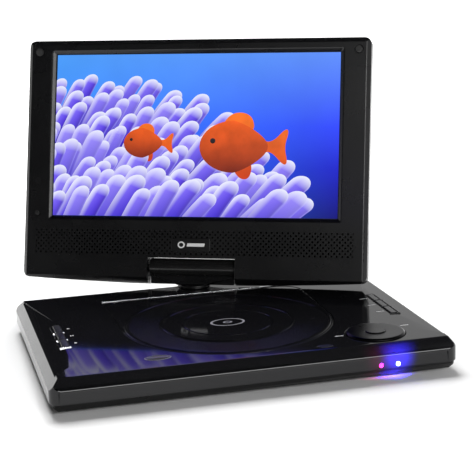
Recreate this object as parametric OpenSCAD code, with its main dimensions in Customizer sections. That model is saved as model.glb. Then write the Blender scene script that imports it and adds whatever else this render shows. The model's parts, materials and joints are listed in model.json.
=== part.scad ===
// Portable disc player: a flat base with a top-loading disc bay, and a wide
// screen that swivels and tilts on a hinge at the back of the base.
// Millimetres. X runs to the right, Y to the back, Z up.
// The origin is the middle of the label panel on the base's underside.
// The screen is drawn in the pose that it is used in: turned and leaning back.

/* [Base] */
// Width of the base
base_w = 244; // [240:1:248]
// Front edge of the base, forward of the origin
base_front = 92; // [91:0.5:94]
// Rear edge of the base, behind the origin
base_rear = 92.5; // [92.5:0.5:94]
// Height of the flat deck above the underside
deck_z = 20.4; // [20.4:0.1:20.8]
// Height of the edge between the side faces and the bevel
edge_z = 13.3; // [13:0.1:14]
// Height of the parting line between the two casings
part_z = 5.5; // [5.3:0.1:5.7]
// Radius of the base's corners, seen from above
base_corner_r = 7; // [5:0.5:9]
// How far the feet stand below the underside
foot_h = 1.6; // [1.2:0.1:2]
// Fall of each side wing from the crease to the bevel
wing_drop = 1; // [0.6:0.1:1.2]

/* [Hinge] */
// Distance of the swivel axis behind the origin
pivot_y = 80.4; // [80:0.1:80.5]
// Height of the tilt axis
pivot_z = 33; // [33:0.1:34]
// Turn of the screen away from straight ahead
swivel_rest = 26.3; // [0:0.1:30]
// Lean of the screen behind the upright
tilt_rest = 15.4; // [5:0.1:30]
// Radius of the hinge barrel
barrel_r = 6.6; // [6.2:0.1:6.8]
// Length of the hinge barrel
barrel_l = 60; // [56:1:60]

/* [Screen] */
// Width of the screen housing
screen_w = 240.5; // [238:0.5:244]
// Top of the housing above the tilt axis
screen_top = 157; // [157:0.5:160]
// Bottom of the housing below the tilt axis, at its two ends
screen_bottom = 8; // [7:0.5:9]
// Extra drop of the bottom edge at its middle
screen_bow = 3.5; // [2:0.5:3.5]
// Front face of the housing, forward of the tilt axis
screen_front = 9.9; // [9.8:0.1:10]
// Back face of the housing, behind the tilt axis
screen_rear = 8.6; // [8.4:0.1:9]
// Width of the picture
picture_w = 199.2; // [198:0.1:200]
// Height of the picture
picture_h = 112; // [111:0.5:113]
// Middle of the picture above the tilt axis
picture_v = 90.9; // [90.5:0.1:91.2]

/* [Disc bay] */
// Distance of the disc's axis in front of the origin
disc_front = 13; // [13:0.5:13.5]
// Radius of the round end of the lid
lid_r = 66; // [65.5:0.5:66]
// Rear edge of the lid, behind the origin
lid_rear = 58; // [57.5:0.5:58]
// Radius of the well that the disc lies in
well_r = 62; // [61.5:0.5:62]
// Travel of the optical sled
sled_travel = 32; // [28:1:32]

/* [Controls] */
// Radius of the direction ring
dpad_r = 18; // [17:0.5:18]
// Length of one side key
key_l = 15.4; // [14.5:0.1:15.4]
// Distance from one side key to the next
key_pitch = 15.8; // [15.6:0.1:16]

/* [Hidden] */

$fn = 64;
eps = 0.01;
far = 200;
run = 0.05; // radial running clearance of a shaft in its hole

// Casings
wall = 2;
half_w = base_w / 2;
side_bevel = 5.4;
front_bevel = 3.8;
rear_bevel = 8.5;
deck_under = deck_z - 2.2;
taper = 5; // how far the lower casing draws in towards the underside
label_h = 0.2; // height of the label panel in the middle of the underside
lip = 0.7; // step at the parting line
crease_x = 103.5;
wing_slope = atan(wing_drop / (half_w - side_bevel - crease_x));
post_r = 3.2;
post_split_z = 8.3;
casing_posts = [[-113, -78], [113, -78], [-113, 76], [113, 76], [-44, 80], [44, 80]];
feet_at = [[-98, -70], [98, -70], [-98, 70], [98, 70]];
cover_x = [-116, -66];
cover_y = [-62, 48];

// Disc bay
disc_at = [0, -disc_front];
lid_gap = 0.5;
lid_t = 2;
lid_corner = 14;
ledge_z = deck_z - lid_t - 0.1;
well_z = 10.8; // top of the well's floor
floor_t = 1.4;
trough_z = 9.6;
trough_y = 40.8;
hinge_y = 44; // lid hinge axis
hinge_z = 15.4;
lug_r = 2.6;
lug_x = 47.4; // middle of each lid lug
ear_x = 52; // middle of each ear beside it
lid_pin_r = 1.5;
spindle_r = 1.5;
lens_x = 24; // lens, from the disc's axis, with the sled parked
rod_z = 6.8;
rod_r = 1.5;
rod_dy = [-20, 20];
screw_dy = 26.2;
chassis_z = 3.6;
chassis_x = [-22, 80];
chassis_dy = [-29, 31];
chassis_posts = [[-17, -24], [-17, 26], [76, -24], [76, 18]];
sled_x = [-11.5, 11.5]; // sled's ends from its lens
rod_x = [9, 73.5];

// Controls
dpad_at = [78.3, -66.8];
button_at = [41.5, -82.5];
key_x = 104;
key_w = 4.8;
key_y = [7.6, 7.6 - key_pitch, 7.6 - 2 * key_pitch];
key_proud = 0.7;
board_z = 13.8;
stem_z = 15.8;
switch_y = 22;
jack_z = 9.4;
headphone_y = -40;
av_y = -22;
dc_y = 46;
lamp_z = 7.9;
power_lamp_x = 83.5;
charge_lamp_x = 73;

// Hinge
bush_r = 7;
pin_r = 5;
pedestal_r = 12;
pedestal_z = 10.4;
tilt_pin_r = 2.5;
notch_half = barrel_l / 2 + 0.6;
notch_top = 7.4;
roll_r = 12; // the housing's lower edge stays inside this radius of the tilt axis

// Screen
split_y = -1.5; // plane between bezel and back cover
skin = 2.2;
housing_corner = 5;
lcd_y = [-7.5, -3];
speaker_u = 86;
speaker_v = 15.6;
screen_posts = [[-110.5, 14], [110.5, 14], [-110.5, 137], [110.5, 137]];
bumper_at = [112, 148.6];
sensor_at = [-110.5, 36];

// ---------- helpers ----------

// A rectangle with round corners
module round_rect(x0, x1, y0, y1, r) {
    translate([x0 + r, y0]) square([x1 - x0 - 2 * r, y1 - y0]);
    translate([x0, y0 + r]) square([x1 - x0, y1 - y0 - 2 * r]);
    for (x = [x0 + r, x1 - r], y = [y0 + r, y1 - r])
        translate([x, y]) circle(r = r);
}

// A slot with round ends along X
module stadium(l, w) {
    square([l - w, w], center = true);
    for (s = [-1, 1]) translate([s * (l - w) / 2, 0]) circle(d = w);
}

// A box given by its two corners
module box(a, b) {
    translate(a) cube(b - a);
}

// A cylinder along X, from x0 to x1
module rod_x_axis(x0, x1, r) {
    translate([x0, 0, 0]) rotate([0, 90, 0]) cylinder(r = r, h = x1 - x0);
}

// A prism along X of an outline in Y and Z
module along_x(x0, x1) {
    translate([x0, 0, 0]) rotate([90, 0, 90]) linear_extrude(x1 - x0) children();
}

// A prism along Y of an outline in X and Z
module along_y(y0, y1) {
    translate([0, y1, 0]) rotate([90, 0, 0]) linear_extrude(y1 - y0) children();
}

// The swivelled parts' own frame: X along the hinge, -Y to the screen's front
module at_swivel() {
    translate([0, pivot_y, 0]) rotate([0, 0, -swivel_rest]) children();
}

// The screen's own frame: X across, Z up the panel, -Y to its front
module at_screen() {
    translate([0, pivot_y, pivot_z]) rotate([0, 0, -swivel_rest])
        rotate([-tilt_rest, 0, 0]) children();
}

module at_disc() {
    translate([disc_at[0], disc_at[1], 0]) children();
}

// A pan-head screw pointing up, its head's underside at z = 0
module screw_up(head_r, head_h, shank_r, shank_l) {
    difference() {
        translate([0, 0, -head_h]) cylinder(r = head_r, h = head_h);
        for (a = [0, 90]) translate([0, 0, -head_h]) rotate([0, 0, a])
            cube([head_r * 1.2, 0.5, 1.2], center = true);
    }
    cylinder(r = shank_r, h = shank_l);
}

// ---------- base casings ----------

// The upper casing's outside, or its hollow when t is the wall
module upper_block(t) {
    hw = half_w - t;
    top = deck_z - t * 1.1;
    low = t > 0 ? part_z - 1 : part_z;
    side = edge_z - t * 0.35;
    intersection() {
        along_y(-far, far) polygon([
            [-hw, low], [-hw, side], [side_bevel - half_w + 0.8 * t, top],
            [half_w - side_bevel - 0.8 * t, top], [hw, side], [hw, low]
        ]);
        along_x(-far, far) polygon([
            [t - base_front, low], [t - base_front, side],
            [front_bevel - base_front + 0.8 * t, top],
            [base_rear - rear_bevel - 0.8 * t, top],
            [base_rear - t, side], [base_rear - t, low]
        ]);
        linear_extrude(far) round_rect(
            -hw, hw, t - base_front, base_rear - t, base_corner_r - t / 2);
    }
}

// The lower casing's outside, or its hollow when t is the wall
module lower_block(t) {
    foot = half_w - taper - t;
    head = half_w - lip - t;
    top = t > 0 ? part_z + 1 : part_z;
    low = t > 0 ? t : label_h;
    intersection() {
        along_y(-far, far) polygon([[-foot, low], [-head, top], [head, top], [foot, low]]);
        along_x(-far, far) polygon([
            [taper + t - base_front, low], [lip + t - base_front, top],
            [base_rear - lip - t, top], [base_rear - taper - t, low]
        ]);
        linear_extrude(far) round_rect(
            -head, head, lip + t - base_front, base_rear - lip - t, base_corner_r - t / 2);
    }
}

// Sloping wing along one side of the deck; it ends in a mitre at each end
module wing_cut() {
    outer = half_w + 2;
    intersection() {
        translate([0, 0, part_z]) linear_extrude(far) polygon([
            [crease_x, 25], [crease_x, -64.5], [half_w - side_bevel + 0.4, -82], [outer, -82],
            [outer, 80], [half_w - side_bevel - 0.2, 80], [crease_x + 6.5, 52]
        ]);
        translate([crease_x, -far, deck_z]) rotate([0, wing_slope, 0]) cube([40, 2 * far, 20]);
    }
}

// Outline of the lid, grown by g
module lid_plan(g) {
    a = lid_r + g;
    c = lid_corner + g;
    translate(disc_at) circle(r = a, $fn = 128);
    translate([-a, disc_at[1]]) square([2 * a, lid_rear + g - c - disc_at[1]]);
    translate([c - a, disc_at[1]]) square([2 * (a - c), lid_rear + g - disc_at[1]]);
    for (s = [-1, 1]) translate([s * (a - c), lid_rear + g - c]) circle(r = c);
}

// Outline of the opening that the lid sits in: it leaves room for the rear
// edge, which swings back a little as it dips
module bay_plan() {
    lid_plan(lid_gap);
    translate([0, 0.9]) lid_plan(lid_gap);
}

module key_slot(x, y) {
    g = 0.2;
    translate([x - key_w / 2 - g, y - key_l / 2 - g, 14])
        cube([key_w + 2 * g, key_l + 2 * g, 10]);
}

module upper_casing() {
    color([0.07, 0.07, 0.08]) {
        difference() {
            union() {
                difference() {
                    upper_block(0);
                    upper_block(wall);
                }
                translate([0, 0, 16]) linear_extrude(deck_under - 16 + eps) lid_plan(2.6);
                at_disc() translate([0, 0, well_z - floor_t])
                    cylinder(r = well_r + 1.6, h = deck_under - well_z + floor_t);
                intersection() {
                    translate([0, 0, trough_z - floor_t])
                        linear_extrude(deck_under - trough_z + floor_t) lid_plan(2.6);
                    box([-far, trough_y - 1.8, 0], [far, far, 30]);
                }
                translate([0, pivot_y, pedestal_z]) cylinder(r = pedestal_r, h = deck_z - pedestal_z);
                for (p = casing_posts) translate([p[0], p[1], post_split_z])
                    cylinder(r = post_r, h = deck_under - post_split_z + eps);
                translate([dpad_at[0], dpad_at[1], 16.4])
                    cylinder(r = dpad_r + 2, h = deck_under - 16.4 + eps);
            }
            for (s = [0, 1]) mirror([s, 0, 0]) wing_cut();
            translate([0, 0, ledge_z]) linear_extrude(10) bay_plan();
            at_disc() translate([0, 0, well_z]) cylinder(r = well_r, h = 20, $fn = 128);
            intersection() {
                translate([0, 0, trough_z]) linear_extrude(20) bay_plan();
                box([-far, trough_y, 0], [far, far, 40]);
            }
            // round the spindle, and along the lens's path
            at_disc() {
                translate([0, 0, 5]) cylinder(r = 16, h = 8);
                box([8, -8.5, 5], [lens_x + sled_travel + 5.5, 8.5, 12]);
            }
            // catch slot in the front ledge
            box([-6.5, -80.6, 12], [6.5, -76.9, 20]);
            for (x = [-key_x, key_x], y = key_y) key_slot(x, y);
            translate([dpad_at[0], dpad_at[1], 0]) {
                translate([0, 0, 18.6]) cylinder(r = dpad_r + 0.4, h = 10);
                cylinder(r = 2.5, h = 30);
                for (a = [0 : 90 : 270]) rotate([0, 0, a]) translate([12, 0, 10])
                    cylinder(r = 1.8, h = 10);
            }
            translate([button_at[0], button_at[1], 10]) linear_extrude(20) stadium(9.5, 5.5);
            translate([0, pivot_y, 5]) cylinder(r = bush_r, h = 20);
            // pilot holes of the casing screws
            for (p = casing_posts) translate([p[0], p[1], post_split_z - 1])
                cylinder(r = 1.1, h = 7.5);
            // side openings
            for (y = [headphone_y, av_y]) translate([half_w - 4, y, jack_z])
                rod_x_axis(0, 6, 3.1);
            translate([half_w - 4, dc_y, jack_z]) rod_x_axis(0, 6, 3.6);
            box([half_w - 4, switch_y - 5.2, jack_z - 1.5], [half_w + 2, switch_y + 5.2, jack_z + 1.5]);
            // lamps in the front face
            for (x = [power_lamp_x, charge_lamp_x]) translate([x, -base_front, lamp_z])
                rotate([90, 0, 0]) cylinder(r = 1.5, h = 10, center = true);
        }
        // ears that carry the lid's hinge pins
        for (s = [-1, 1]) difference() {
            union() {
                translate([0, hinge_y, hinge_z]) rod_x_axis(s * ear_x - 2, s * ear_x + 2, lug_r);
                box([s * ear_x - 2, hinge_y - lug_r, trough_z - 1],
                    [s * ear_x + 2, hinge_y + lug_r, hinge_z]);
            }
            translate([0, hinge_y, hinge_z]) rod_x_axis(s * ear_x - 3, s * ear_x + 3, lid_pin_r);
        }
    }
}

module lower_casing() {
    color([0.08, 0.08, 0.09]) difference() {
        union() {
            difference() {
                lower_block(0);
                lower_block(wall);
            }
            for (p = casing_posts) translate([p[0], p[1], wall - eps])
                cylinder(r = post_r, h = post_split_z - wall - 0.1);
            for (p = chassis_posts) translate([p[0], disc_at[1] + p[1], wall - eps])
                cylinder(r = 3, h = 0.6 + eps);
            box([-30, -20, 0], [30, 20, 1]);
            // stiffening ribs
            for (y = [-66, 34, 62]) box([-60, y, wall - eps], [84, y + 1.2, 4.6]);
        }
        for (p = casing_posts) translate([p[0], p[1], 0]) {
            translate([0, 0, -1]) cylinder(r = 1.3, h = 20);
            translate([0, 0, -1]) cylinder(r = 2.6, h = 4);
        }
        for (p = chassis_posts) translate([p[0], disc_at[1] + p[1], 0.6]) cylinder(r = 1.15, h = 5);
        for (p = feet_at) translate([p[0], p[1], -1]) cylinder(r = 6.1, h = 1.8);
        // battery bay
        box([cover_x[0], cover_y[0], -1], [cover_x[1], cover_y[1], 1.3]);
        box([cover_x[0] + 3, cover_y[0] + 3, -1], [cover_x[1] - 3, cover_y[1] - 3, 5]);
        // vents
        for (i = [-3 : 3]) translate([96, 8 * i, -1]) linear_extrude(5) stadium(16, 2.4);
    }
}

module battery_cover() {
    color([0.08, 0.08, 0.09]) {
        difference() {
            box([cover_x[0] + 0.2, cover_y[0] + 0.2, label_h], [cover_x[1] - 0.2, cover_y[1] - 0.2, 1.3]);
            for (i = [-2 : 2]) translate([(cover_x[0] + cover_x[1]) / 2, cover_y[1] - 8 + 2 * i, 0])
                linear_extrude(0.6) stadium(24, 0.8);
        }
        box([cover_x[0] + 3.3, cover_y[0] + 3.3, 1.1], [cover_x[1] - 3.3, cover_y[0] + 5, 1.9]);
    }
}

module rubber_feet() {
    chamfer = 0.6;
    color([0.03, 0.03, 0.03]) for (p = feet_at) translate([p[0], p[1], -foot_h]) {
        cylinder(r1 = 6 - chamfer, r2 = 6, h = chamfer);
        translate([0, 0, chamfer]) cylinder(r = 6, h = foot_h + 0.8 - chamfer);
    }
}

module casing_screws() {
    color("silver") for (p = casing_posts) translate([p[0], p[1], 3]) screw_up(2.4, 1.5, 1.05, 10);
}

module battery_cells() {
    pitch = 33;
    color([0.35, 0.5, 0.65]) for (i = [0 : 2])
        translate([0, 0, 2.2]) linear_extrude(6.4)
            round_rect(cover_x[0] + 3.6, cover_x[1] - 3.6, cover_y[0] + 6 + pitch * i,
                cover_y[0] + 5 + pitch * (i + 1), 3);
}

module main_board() {
    color([0.1, 0.35, 0.18]) difference() {
        box([91, -60, 3.8], [116.4, 70, 5]);
        for (y = [-54, 64]) translate([95, y, 3]) cylinder(r = 1.5, h = 3);
    }
}

module board_chips() {
    color([0.12, 0.12, 0.13]) {
        box([93, -48, 5], [105, -36, 6.4]);
        box([93, -30, 5], [105, -22, 6.2]);
        box([93, -14, 5], [101, -4, 6.6]);
        box([93, 30, 5], [103, 40, 8]);
        for (y = [4, 12, 52, 60]) translate([98, y, 5]) cylinder(r = 3, h = 6.5);
    }
}

// A round socket on the side wall, with a bore along X
module side_jack(y, bore_r, collar_r, depth) {
    difference() {
        union() {
            translate([half_w - 16, y - 4, 5]) cube([11.8, 8, 8]);
            translate([half_w - 4.5, y, jack_z]) rod_x_axis(0, 4.5, collar_r);
        }
        translate([half_w - depth, y, jack_z]) rod_x_axis(0, depth + 1, bore_r);
    }
}

module headphone_jack() {
    color([0.15, 0.5, 0.25]) side_jack(headphone_y, 1.8, 3, 14);
}

module av_jack() {
    color([0.7, 0.6, 0.1]) side_jack(av_y, 1.8, 3, 14);
}

module dc_jack() {
    color([0.1, 0.1, 0.1]) {
        side_jack(dc_y, 2.8, 3.5, 10);
        translate([half_w - 11, dc_y, jack_z]) rod_x_axis(0, 9, 0.8);
    }
}

module switch_boards() {
    color([0.1, 0.35, 0.18]) {
        for (s = [-1, 1]) box([s * key_x - 7, -36, board_z], [s * key_x + 7, 18, board_z + 1]);
        translate([dpad_at[0], dpad_at[1], board_z]) cylinder(r = dpad_r - 1, h = 1);
    }
}

module dome_switches() {
    color("silver") {
        for (x = [-key_x, key_x], y = key_y) translate([x, y, board_z + 1])
            cylinder(r1 = 2.5, r2 = 1.8, h = 0.4);
        translate([dpad_at[0], dpad_at[1], board_z + 1]) {
            cylinder(r1 = 2.5, r2 = 1.8, h = 0.4);
            for (a = [0 : 90 : 270]) rotate([0, 0, a]) translate([12, 0, 0])
                cylinder(r1 = 2.5, r2 = 1.8, h = 0.4);
        }
    }
}

// A lamp's light guide in the front face
module lamp(x) {
    translate([x, 0.15 - base_front, lamp_z]) rotate([-90, 0, 0]) {
        cylinder(r = 1.4, h = 4);
        translate([0, 0, 2.2]) cylinder(r = 2.1, h = 2.5);
    }
}

module power_lamp() {
    color([0.2, 0.3, 1]) lamp(power_lamp_x);
}

module charge_lamp() {
    color([0.9, 0.1, 0.1]) lamp(charge_lamp_x);
}

// Bright strip along the deck behind the lid
module hinge_trim() {
    color("silver") translate([0, 60.8, deck_z]) linear_extrude(0.35) stadium(136, 1.2);
}

// ---------- disc drive ----------

module drive_chassis() {
    color([0.6, 0.6, 0.62]) at_disc() {
        difference() {
            union() {
                box([chassis_x[0], chassis_dy[0], chassis_z], [chassis_x[1], chassis_dy[1], chassis_z + 1]);
                for (x = rod_x, dy = rod_dy) box([x - 3, dy - 3, chassis_z], [x, dy + 3, rod_z + 2]);
                box([rod_x[1] - 3, screw_dy - 2.6, chassis_z], [rod_x[1], screw_dy + 2.6, rod_z + 2]);
            }
            // windows under the sled and the sled's motor
            box([20, -15, 0], [lens_x + sled_travel + 10, 15, 5]);
            box([rod_x[1] + 0.4, screw_dy - 5, 0], [far, far, 5]);
            for (dy = rod_dy) translate([0, dy, rod_z]) rod_x_axis(0, 90, rod_r);
            translate([0, screw_dy, rod_z]) rod_x_axis(0, 90, rod_r + run);
            cylinder(r = 5, h = 20);
            for (p = chassis_posts) translate([p[0], p[1], 0]) cylinder(r = 1.3, h = 20);
        }
    }
}

module chassis_dampers() {
    color([0.05, 0.05, 0.05]) for (p = chassis_posts) at_disc() translate([p[0], p[1], wall + 0.6])
        difference() {
            cylinder(r = 3, h = chassis_z - wall - 0.6);
            translate([0, 0, -1]) cylinder(r = 1.3, h = 5);
        }
}

module chassis_screws() {
    color("silver") for (p = chassis_posts) at_disc() translate([p[0], p[1], chassis_z + 1])
        mirror([0, 0, 1]) screw_up(2.2, 1.2, 1.1, 3.8);
}

module guide_rods() {
    color([0.85, 0.85, 0.87]) at_disc() for (dy = rod_dy) translate([0, dy, rod_z])
        rod_x_axis(rod_x[0] - 3, rod_x[1], rod_r);
}

module sled_motor() {
    color([0.7, 0.7, 0.7]) at_disc() translate([0, screw_dy, rod_z]) difference() {
        rod_x_axis(rod_x[1] + 0.6, rod_x[1] + 15, 4.4);
        rod_x_axis(rod_x[1], rod_x[1] + 9, rod_r + run);
    }
}

module lead_screw() {
    color([0.8, 0.8, 0.82]) at_disc() translate([0, screw_dy, rod_z])
        rod_x_axis(11, rod_x[1] + 8.5, rod_r);
}

module optical_sled() {
    tower = 4.5;
    color([0.25, 0.25, 0.27]) at_disc() difference() {
        union() {
            box([lens_x + sled_x[0], -23.5, 5], [lens_x + sled_x[1], 23.2, 8.8]);
            box([lens_x - tower, -7, 8.7], [lens_x + tower, 7, well_z]);
            box([lens_x - 4, 23, 5], [lens_x + 4, screw_dy + 3, 8.8]);
        }
        for (dy = rod_dy) translate([0, dy, rod_z]) rod_x_axis(0, 60, rod_r + run);
        translate([0, screw_dy, rod_z]) rod_x_axis(0, 60, rod_r + run);
        translate([lens_x, 0, well_z - 0.6]) cylinder(r = 3.1, h = 2);
    }
}

module objective_lens() {
    color([0.6, 0.75, 0.9, 0.6]) at_disc() translate([lens_x, 0, well_z - 0.6]) {
        cylinder(r = 3, h = 0.8);
        intersection() {
            translate([0, 0, -3.6]) sphere(r = 5);
            cylinder(r = 2.5, h = 3);
        }
    }
}

module spindle_stator() {
    color([0.7, 0.45, 0.2]) at_disc() {
        difference() {
            union() {
                translate([0, 0, 2.2]) cylinder(r = 4.8, h = 2.4);
                translate([0, 0, 4.6]) cylinder(r = 9, h = 0.6);
                translate([0, 0, 5.2]) cylinder_ring(8.6, 3.4, 3);
            }
            translate([0, 0, 2.8]) cylinder(r = spindle_r + run, h = 10);
        }
    }
}

// A flat ring of height h between two radii
module cylinder_ring(outer_r, inner_r, h) {
    difference() {
        cylinder(r = outer_r, h = h);
        translate([0, 0, -1]) cylinder(r = inner_r, h = h + 2);
    }
}

module spindle_rotor() {
    color([0.75, 0.75, 0.77]) at_disc() {
        difference() {
            translate([0, 0, 5.6]) cylinder(r = 10.4, h = 4.2);
            translate([0, 0, 5]) cylinder(r = 9.6, h = 4.2);
        }
        translate([0, 0, 3]) cylinder(r = spindle_r, h = 8.4);
    }
}

module disc_turntable() {
    color([0.1, 0.1, 0.11]) at_disc() difference() {
        union() {
            translate([0, 0, 11]) cylinder(r = 14, h = 1.5);
            translate([0, 0, 12.4]) cylinder(r = 7.4, h = 2.4);
            translate([0, 0, 14.8]) cylinder(r1 = 7.4, r2 = 6, h = 0.8);
            translate([0, 0, 9.8]) cylinder(r = 4, h = 1.3);
        }
        translate([0, 0, 9]) cylinder(r = spindle_r, h = 2.4);
        for (a = [0 : 120 : 240]) rotate([0, 0, a]) translate([5.4, -1.4, 13]) cube([4, 2.8, 3]);
    }
}

module disc_clips() {
    color([0.85, 0.85, 0.88]) at_disc() for (a = [0 : 120 : 240]) rotate([0, 0, a])
        translate([6.35, 0, 14]) sphere(r = 1);
}

// ---------- lid ----------

module disc_lid() {
    color([0.06, 0.06, 0.07]) difference() {
        union() {
            translate([0, 0, deck_z - lid_t]) linear_extrude(lid_t) lid_plan(0);
            at_disc() translate([0, 0, deck_z - eps]) cylinder_ring(41.5, 40.3, 0.25);
            at_disc() translate([0, 0, deck_z - eps]) cylinder_ring(64.4, 63.2, 0.25);
            // ring that keeps a loose disc down
            at_disc() translate([0, 0, deck_z - lid_t - 1.4]) cylinder_ring(12, 10.6, 1.5);
            // hinge lugs
            for (s = [-1, 1]) {
                translate([0, hinge_y, hinge_z]) rod_x_axis(s * lug_x - 2.4, s * lug_x + 2.4, lug_r);
                box([s * lug_x - 2.4, hinge_y - lug_r, hinge_z],
                    [s * lug_x + 2.4, hinge_y + lug_r, deck_z - lid_t + 0.1]);
            }
            // catch at the front
            box([-5, -78.6, 12.2], [5, -77.2, deck_z - lid_t + 0.1]);
            box([-5, -79.8, 12.2], [5, -78.5, 13.2]);
        }
        for (s = [-1, 1]) translate([0, hinge_y, hinge_z])
            rod_x_axis(s * lug_x - 4, s * lug_x + 4, lid_pin_r + run);
        // shallow groove round the middle
        at_disc() translate([0, 0, deck_z - 0.3]) cylinder_ring(28.6, 27.8, 1);
    }
}

module lid_hinge_pins() {
    pin_half_l = 4.6;
    color("silver") for (s = [-1, 1]) translate([0, hinge_y, hinge_z])
        rod_x_axis(s * 49.2 - pin_half_l, s * 49.2 + pin_half_l, lid_pin_r);
}

// Coil that pushes the lid up when its catch lets go
module lid_spring() {
    turns = 5;
    wire = 0.9;
    color("silver") translate([-38, hinge_y, hinge_z]) {
        for (i = [0 : turns - 1]) translate([i * 0.8, 0, 0]) rotate([0, 90, 0])
            rotate_extrude() translate([2, 0]) circle(d = wire, $fn = 16);
        translate([0, 2, trough_z - hinge_z]) cylinder(d = wire, h = hinge_z - trough_z, $fn = 16);
    }
}

module open_button() {
    color([0.1, 0.1, 0.11]) {
        translate([button_at[0], button_at[1], deck_under - 1.4]) {
            translate([0, 0, 1.2]) linear_extrude(deck_z - deck_under + 0.6) stadium(9, 5);
            linear_extrude(1.2 + eps) stadium(11, 6.6);
        }
        along_x(button_at[0] - 3.5, button_at[0] + 3.5)
            polygon([[-83.5, 17], [-83.5, 16], [-81, 13.5], [-80.2, 13.5], [-80.2, 17]]);
    }
}

module latch_slider() {
    color([0.85, 0.85, 0.85]) {
        along_x(button_at[0] - 3.5, button_at[0] + 3.5)
            polygon([[-86.5, 13.4], [-86.5, 14.9], [-82.6, 14.9], [-81.1, 13.4]]);
        box([-5, -86.5, 13.4], [button_at[0] - 3.4, -83.5, 14.9]);
        box([-3, -83.6, 13.4], [3, -80.2, 14.9]);
    }
}

// ---------- controls ----------

module direction_ring() {
    color([0.35, 0.35, 0.37]) translate([dpad_at[0], dpad_at[1], 0]) difference() {
        union() {
            translate([0, 0, 19.4]) cylinder(r = dpad_r, h = 1.6);
            translate([0, 0, 21]) cylinder(r1 = dpad_r, r2 = dpad_r - 1.2, h = 0.7);
            for (a = [0 : 90 : 270]) rotate([0, 0, a]) translate([12, 0, stem_z])
                cylinder(r = 1.2, h = 4);
        }
        translate([0, 0, 19]) cylinder(r = 6.3, h = 4);
        translate([0, 0, 21.7]) cylinder_ring(dpad_r - 2.5, 7.4, 1);
        translate([0, 0, 21.45]) cylinder(r1 = 8, r2 = dpad_r - 2.6, h = 0.3);
    }
}

module ok_button() {
    color([0.3, 0.3, 0.32]) translate([dpad_at[0], dpad_at[1], 0]) {
        translate([0, 0, 19.2]) cylinder(r = 6.1, h = 2.4);
        translate([0, 0, 21.6]) cylinder(r1 = 6.1, r2 = 5.4, h = 0.4);
        translate([0, 0, stem_z]) cylinder(r = 2, h = 4);
    }
}

// One side key: a cap in its slot, a flange under the deck and a stem
module side_key(side, i) {
    y = key_y[i];
    color([0.12, 0.12, 0.13]) translate([side * key_x, y, 0]) {
        box([-key_w / 2, -key_l / 2, 17.2], [key_w / 2, key_l / 2, deck_z + key_proud - 0.3]);
        box([-key_w / 2 + 0.3, -key_l / 2 + 0.3, 17.2],
            [key_w / 2 - 0.3, key_l / 2 - 0.3, deck_z + key_proud]);
        box([-key_w / 2 - 0.8, -key_l / 2 + 0.4, 16.2], [key_w / 2 + 0.8, key_l / 2 - 0.4, 17.3]);
        translate([0, 0, stem_z]) cylinder(r = 1.5, h = 1);
    }
}

module power_switch() {
    color([0.1, 0.1, 0.1]) {
        box([half_w - 5, switch_y - 5, jack_z - 1.3], [half_w - 0.2, switch_y + 1, jack_z + 1.3]);
        for (i = [0 : 3]) box([half_w - 0.3, switch_y - 4.2 + 1.4 * i, jack_z - 1.1],
            [half_w + 0.5, switch_y - 3.6 + 1.4 * i, jack_z + 1.1]);
        box([half_w - 7, switch_y - 6, jack_z - 2], [half_w - 4.9, switch_y + 2, jack_z + 2]);
    }
}

// ---------- hinge ----------

module swivel_bush() {
    color([0.75, 0.6, 0.3]) translate([0, pivot_y, pedestal_z])
        cylinder_ring(bush_r, pin_r + run, deck_z - pedestal_z);
}

module swivel_column() {
    color([0.08, 0.08, 0.09]) at_swivel() difference() {
        union() {
            translate([0, 0, deck_z + 0.2]) cylinder(r = 11, h = 2.4);
            translate([0, 0, deck_z + 2.5]) linear_extrude(pivot_z - deck_z - 2.5) stadium(30, 11);
            // apron that closes the notch under the barrel
            box([-29.2, -5.4, pivot_z - 10.2], [29.2, 5.4, pivot_z]);
            translate([0, 0, pivot_z]) rod_x_axis(-barrel_l / 2, barrel_l / 2, barrel_r);
            translate([0, 0, 6.4]) cylinder(r = pin_r, h = deck_z - 6);
        }
        // way for the screen's cable
        cylinder(r = 2.6, h = pivot_z);
        translate([0, 0, pivot_z]) {
            rod_x_axis(-barrel_l / 2 - 1, -16, tilt_pin_r + run);
            rod_x_axis(16, barrel_l / 2 + 1, tilt_pin_r + run);
        }
    }
}

module swivel_nut() {
    color("silver") at_swivel() difference() {
        union() {
            translate([0, 0, pedestal_z - 0.9]) cylinder(r = 8.4, h = 0.8);
            translate([0, 0, 6.8]) cylinder(r = 7.6, h = pedestal_z - 7.6, $fn = 6);
        }
        translate([0, 0, 5]) cylinder(r = pin_r, h = 10);
    }
}

// Thin curved plate over the front of the hinge barrel
module hinge_cover() {
    color([0.2, 0.2, 0.21]) at_swivel() translate([0, 0, pivot_z]) intersection() {
        difference() {
            rod_x_axis(0.4 - barrel_l / 2, barrel_l / 2 - 0.4, barrel_r + 0.4);
            rod_x_axis(-barrel_l, barrel_l, barrel_r);
        }
        box([-far, -20, -3.2], [far, -1.6, 20]);
    }
}

// ---------- screen ----------

// Outline of the housing, drawn in by g
module housing_outline(g) {
    w = screen_w / 2 - g;
    c = housing_corner;
    steps = 12;
    offset(r = c) offset(delta = -c) polygon(concat(
        [[w, screen_top - g], [-w, screen_top - g]],
        [for (i = [0 : steps]) let (t = 2 * i / steps - 1)
            [t * w, g - screen_bottom - screen_bow * (1 - t * t)]]
    ));
}

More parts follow.
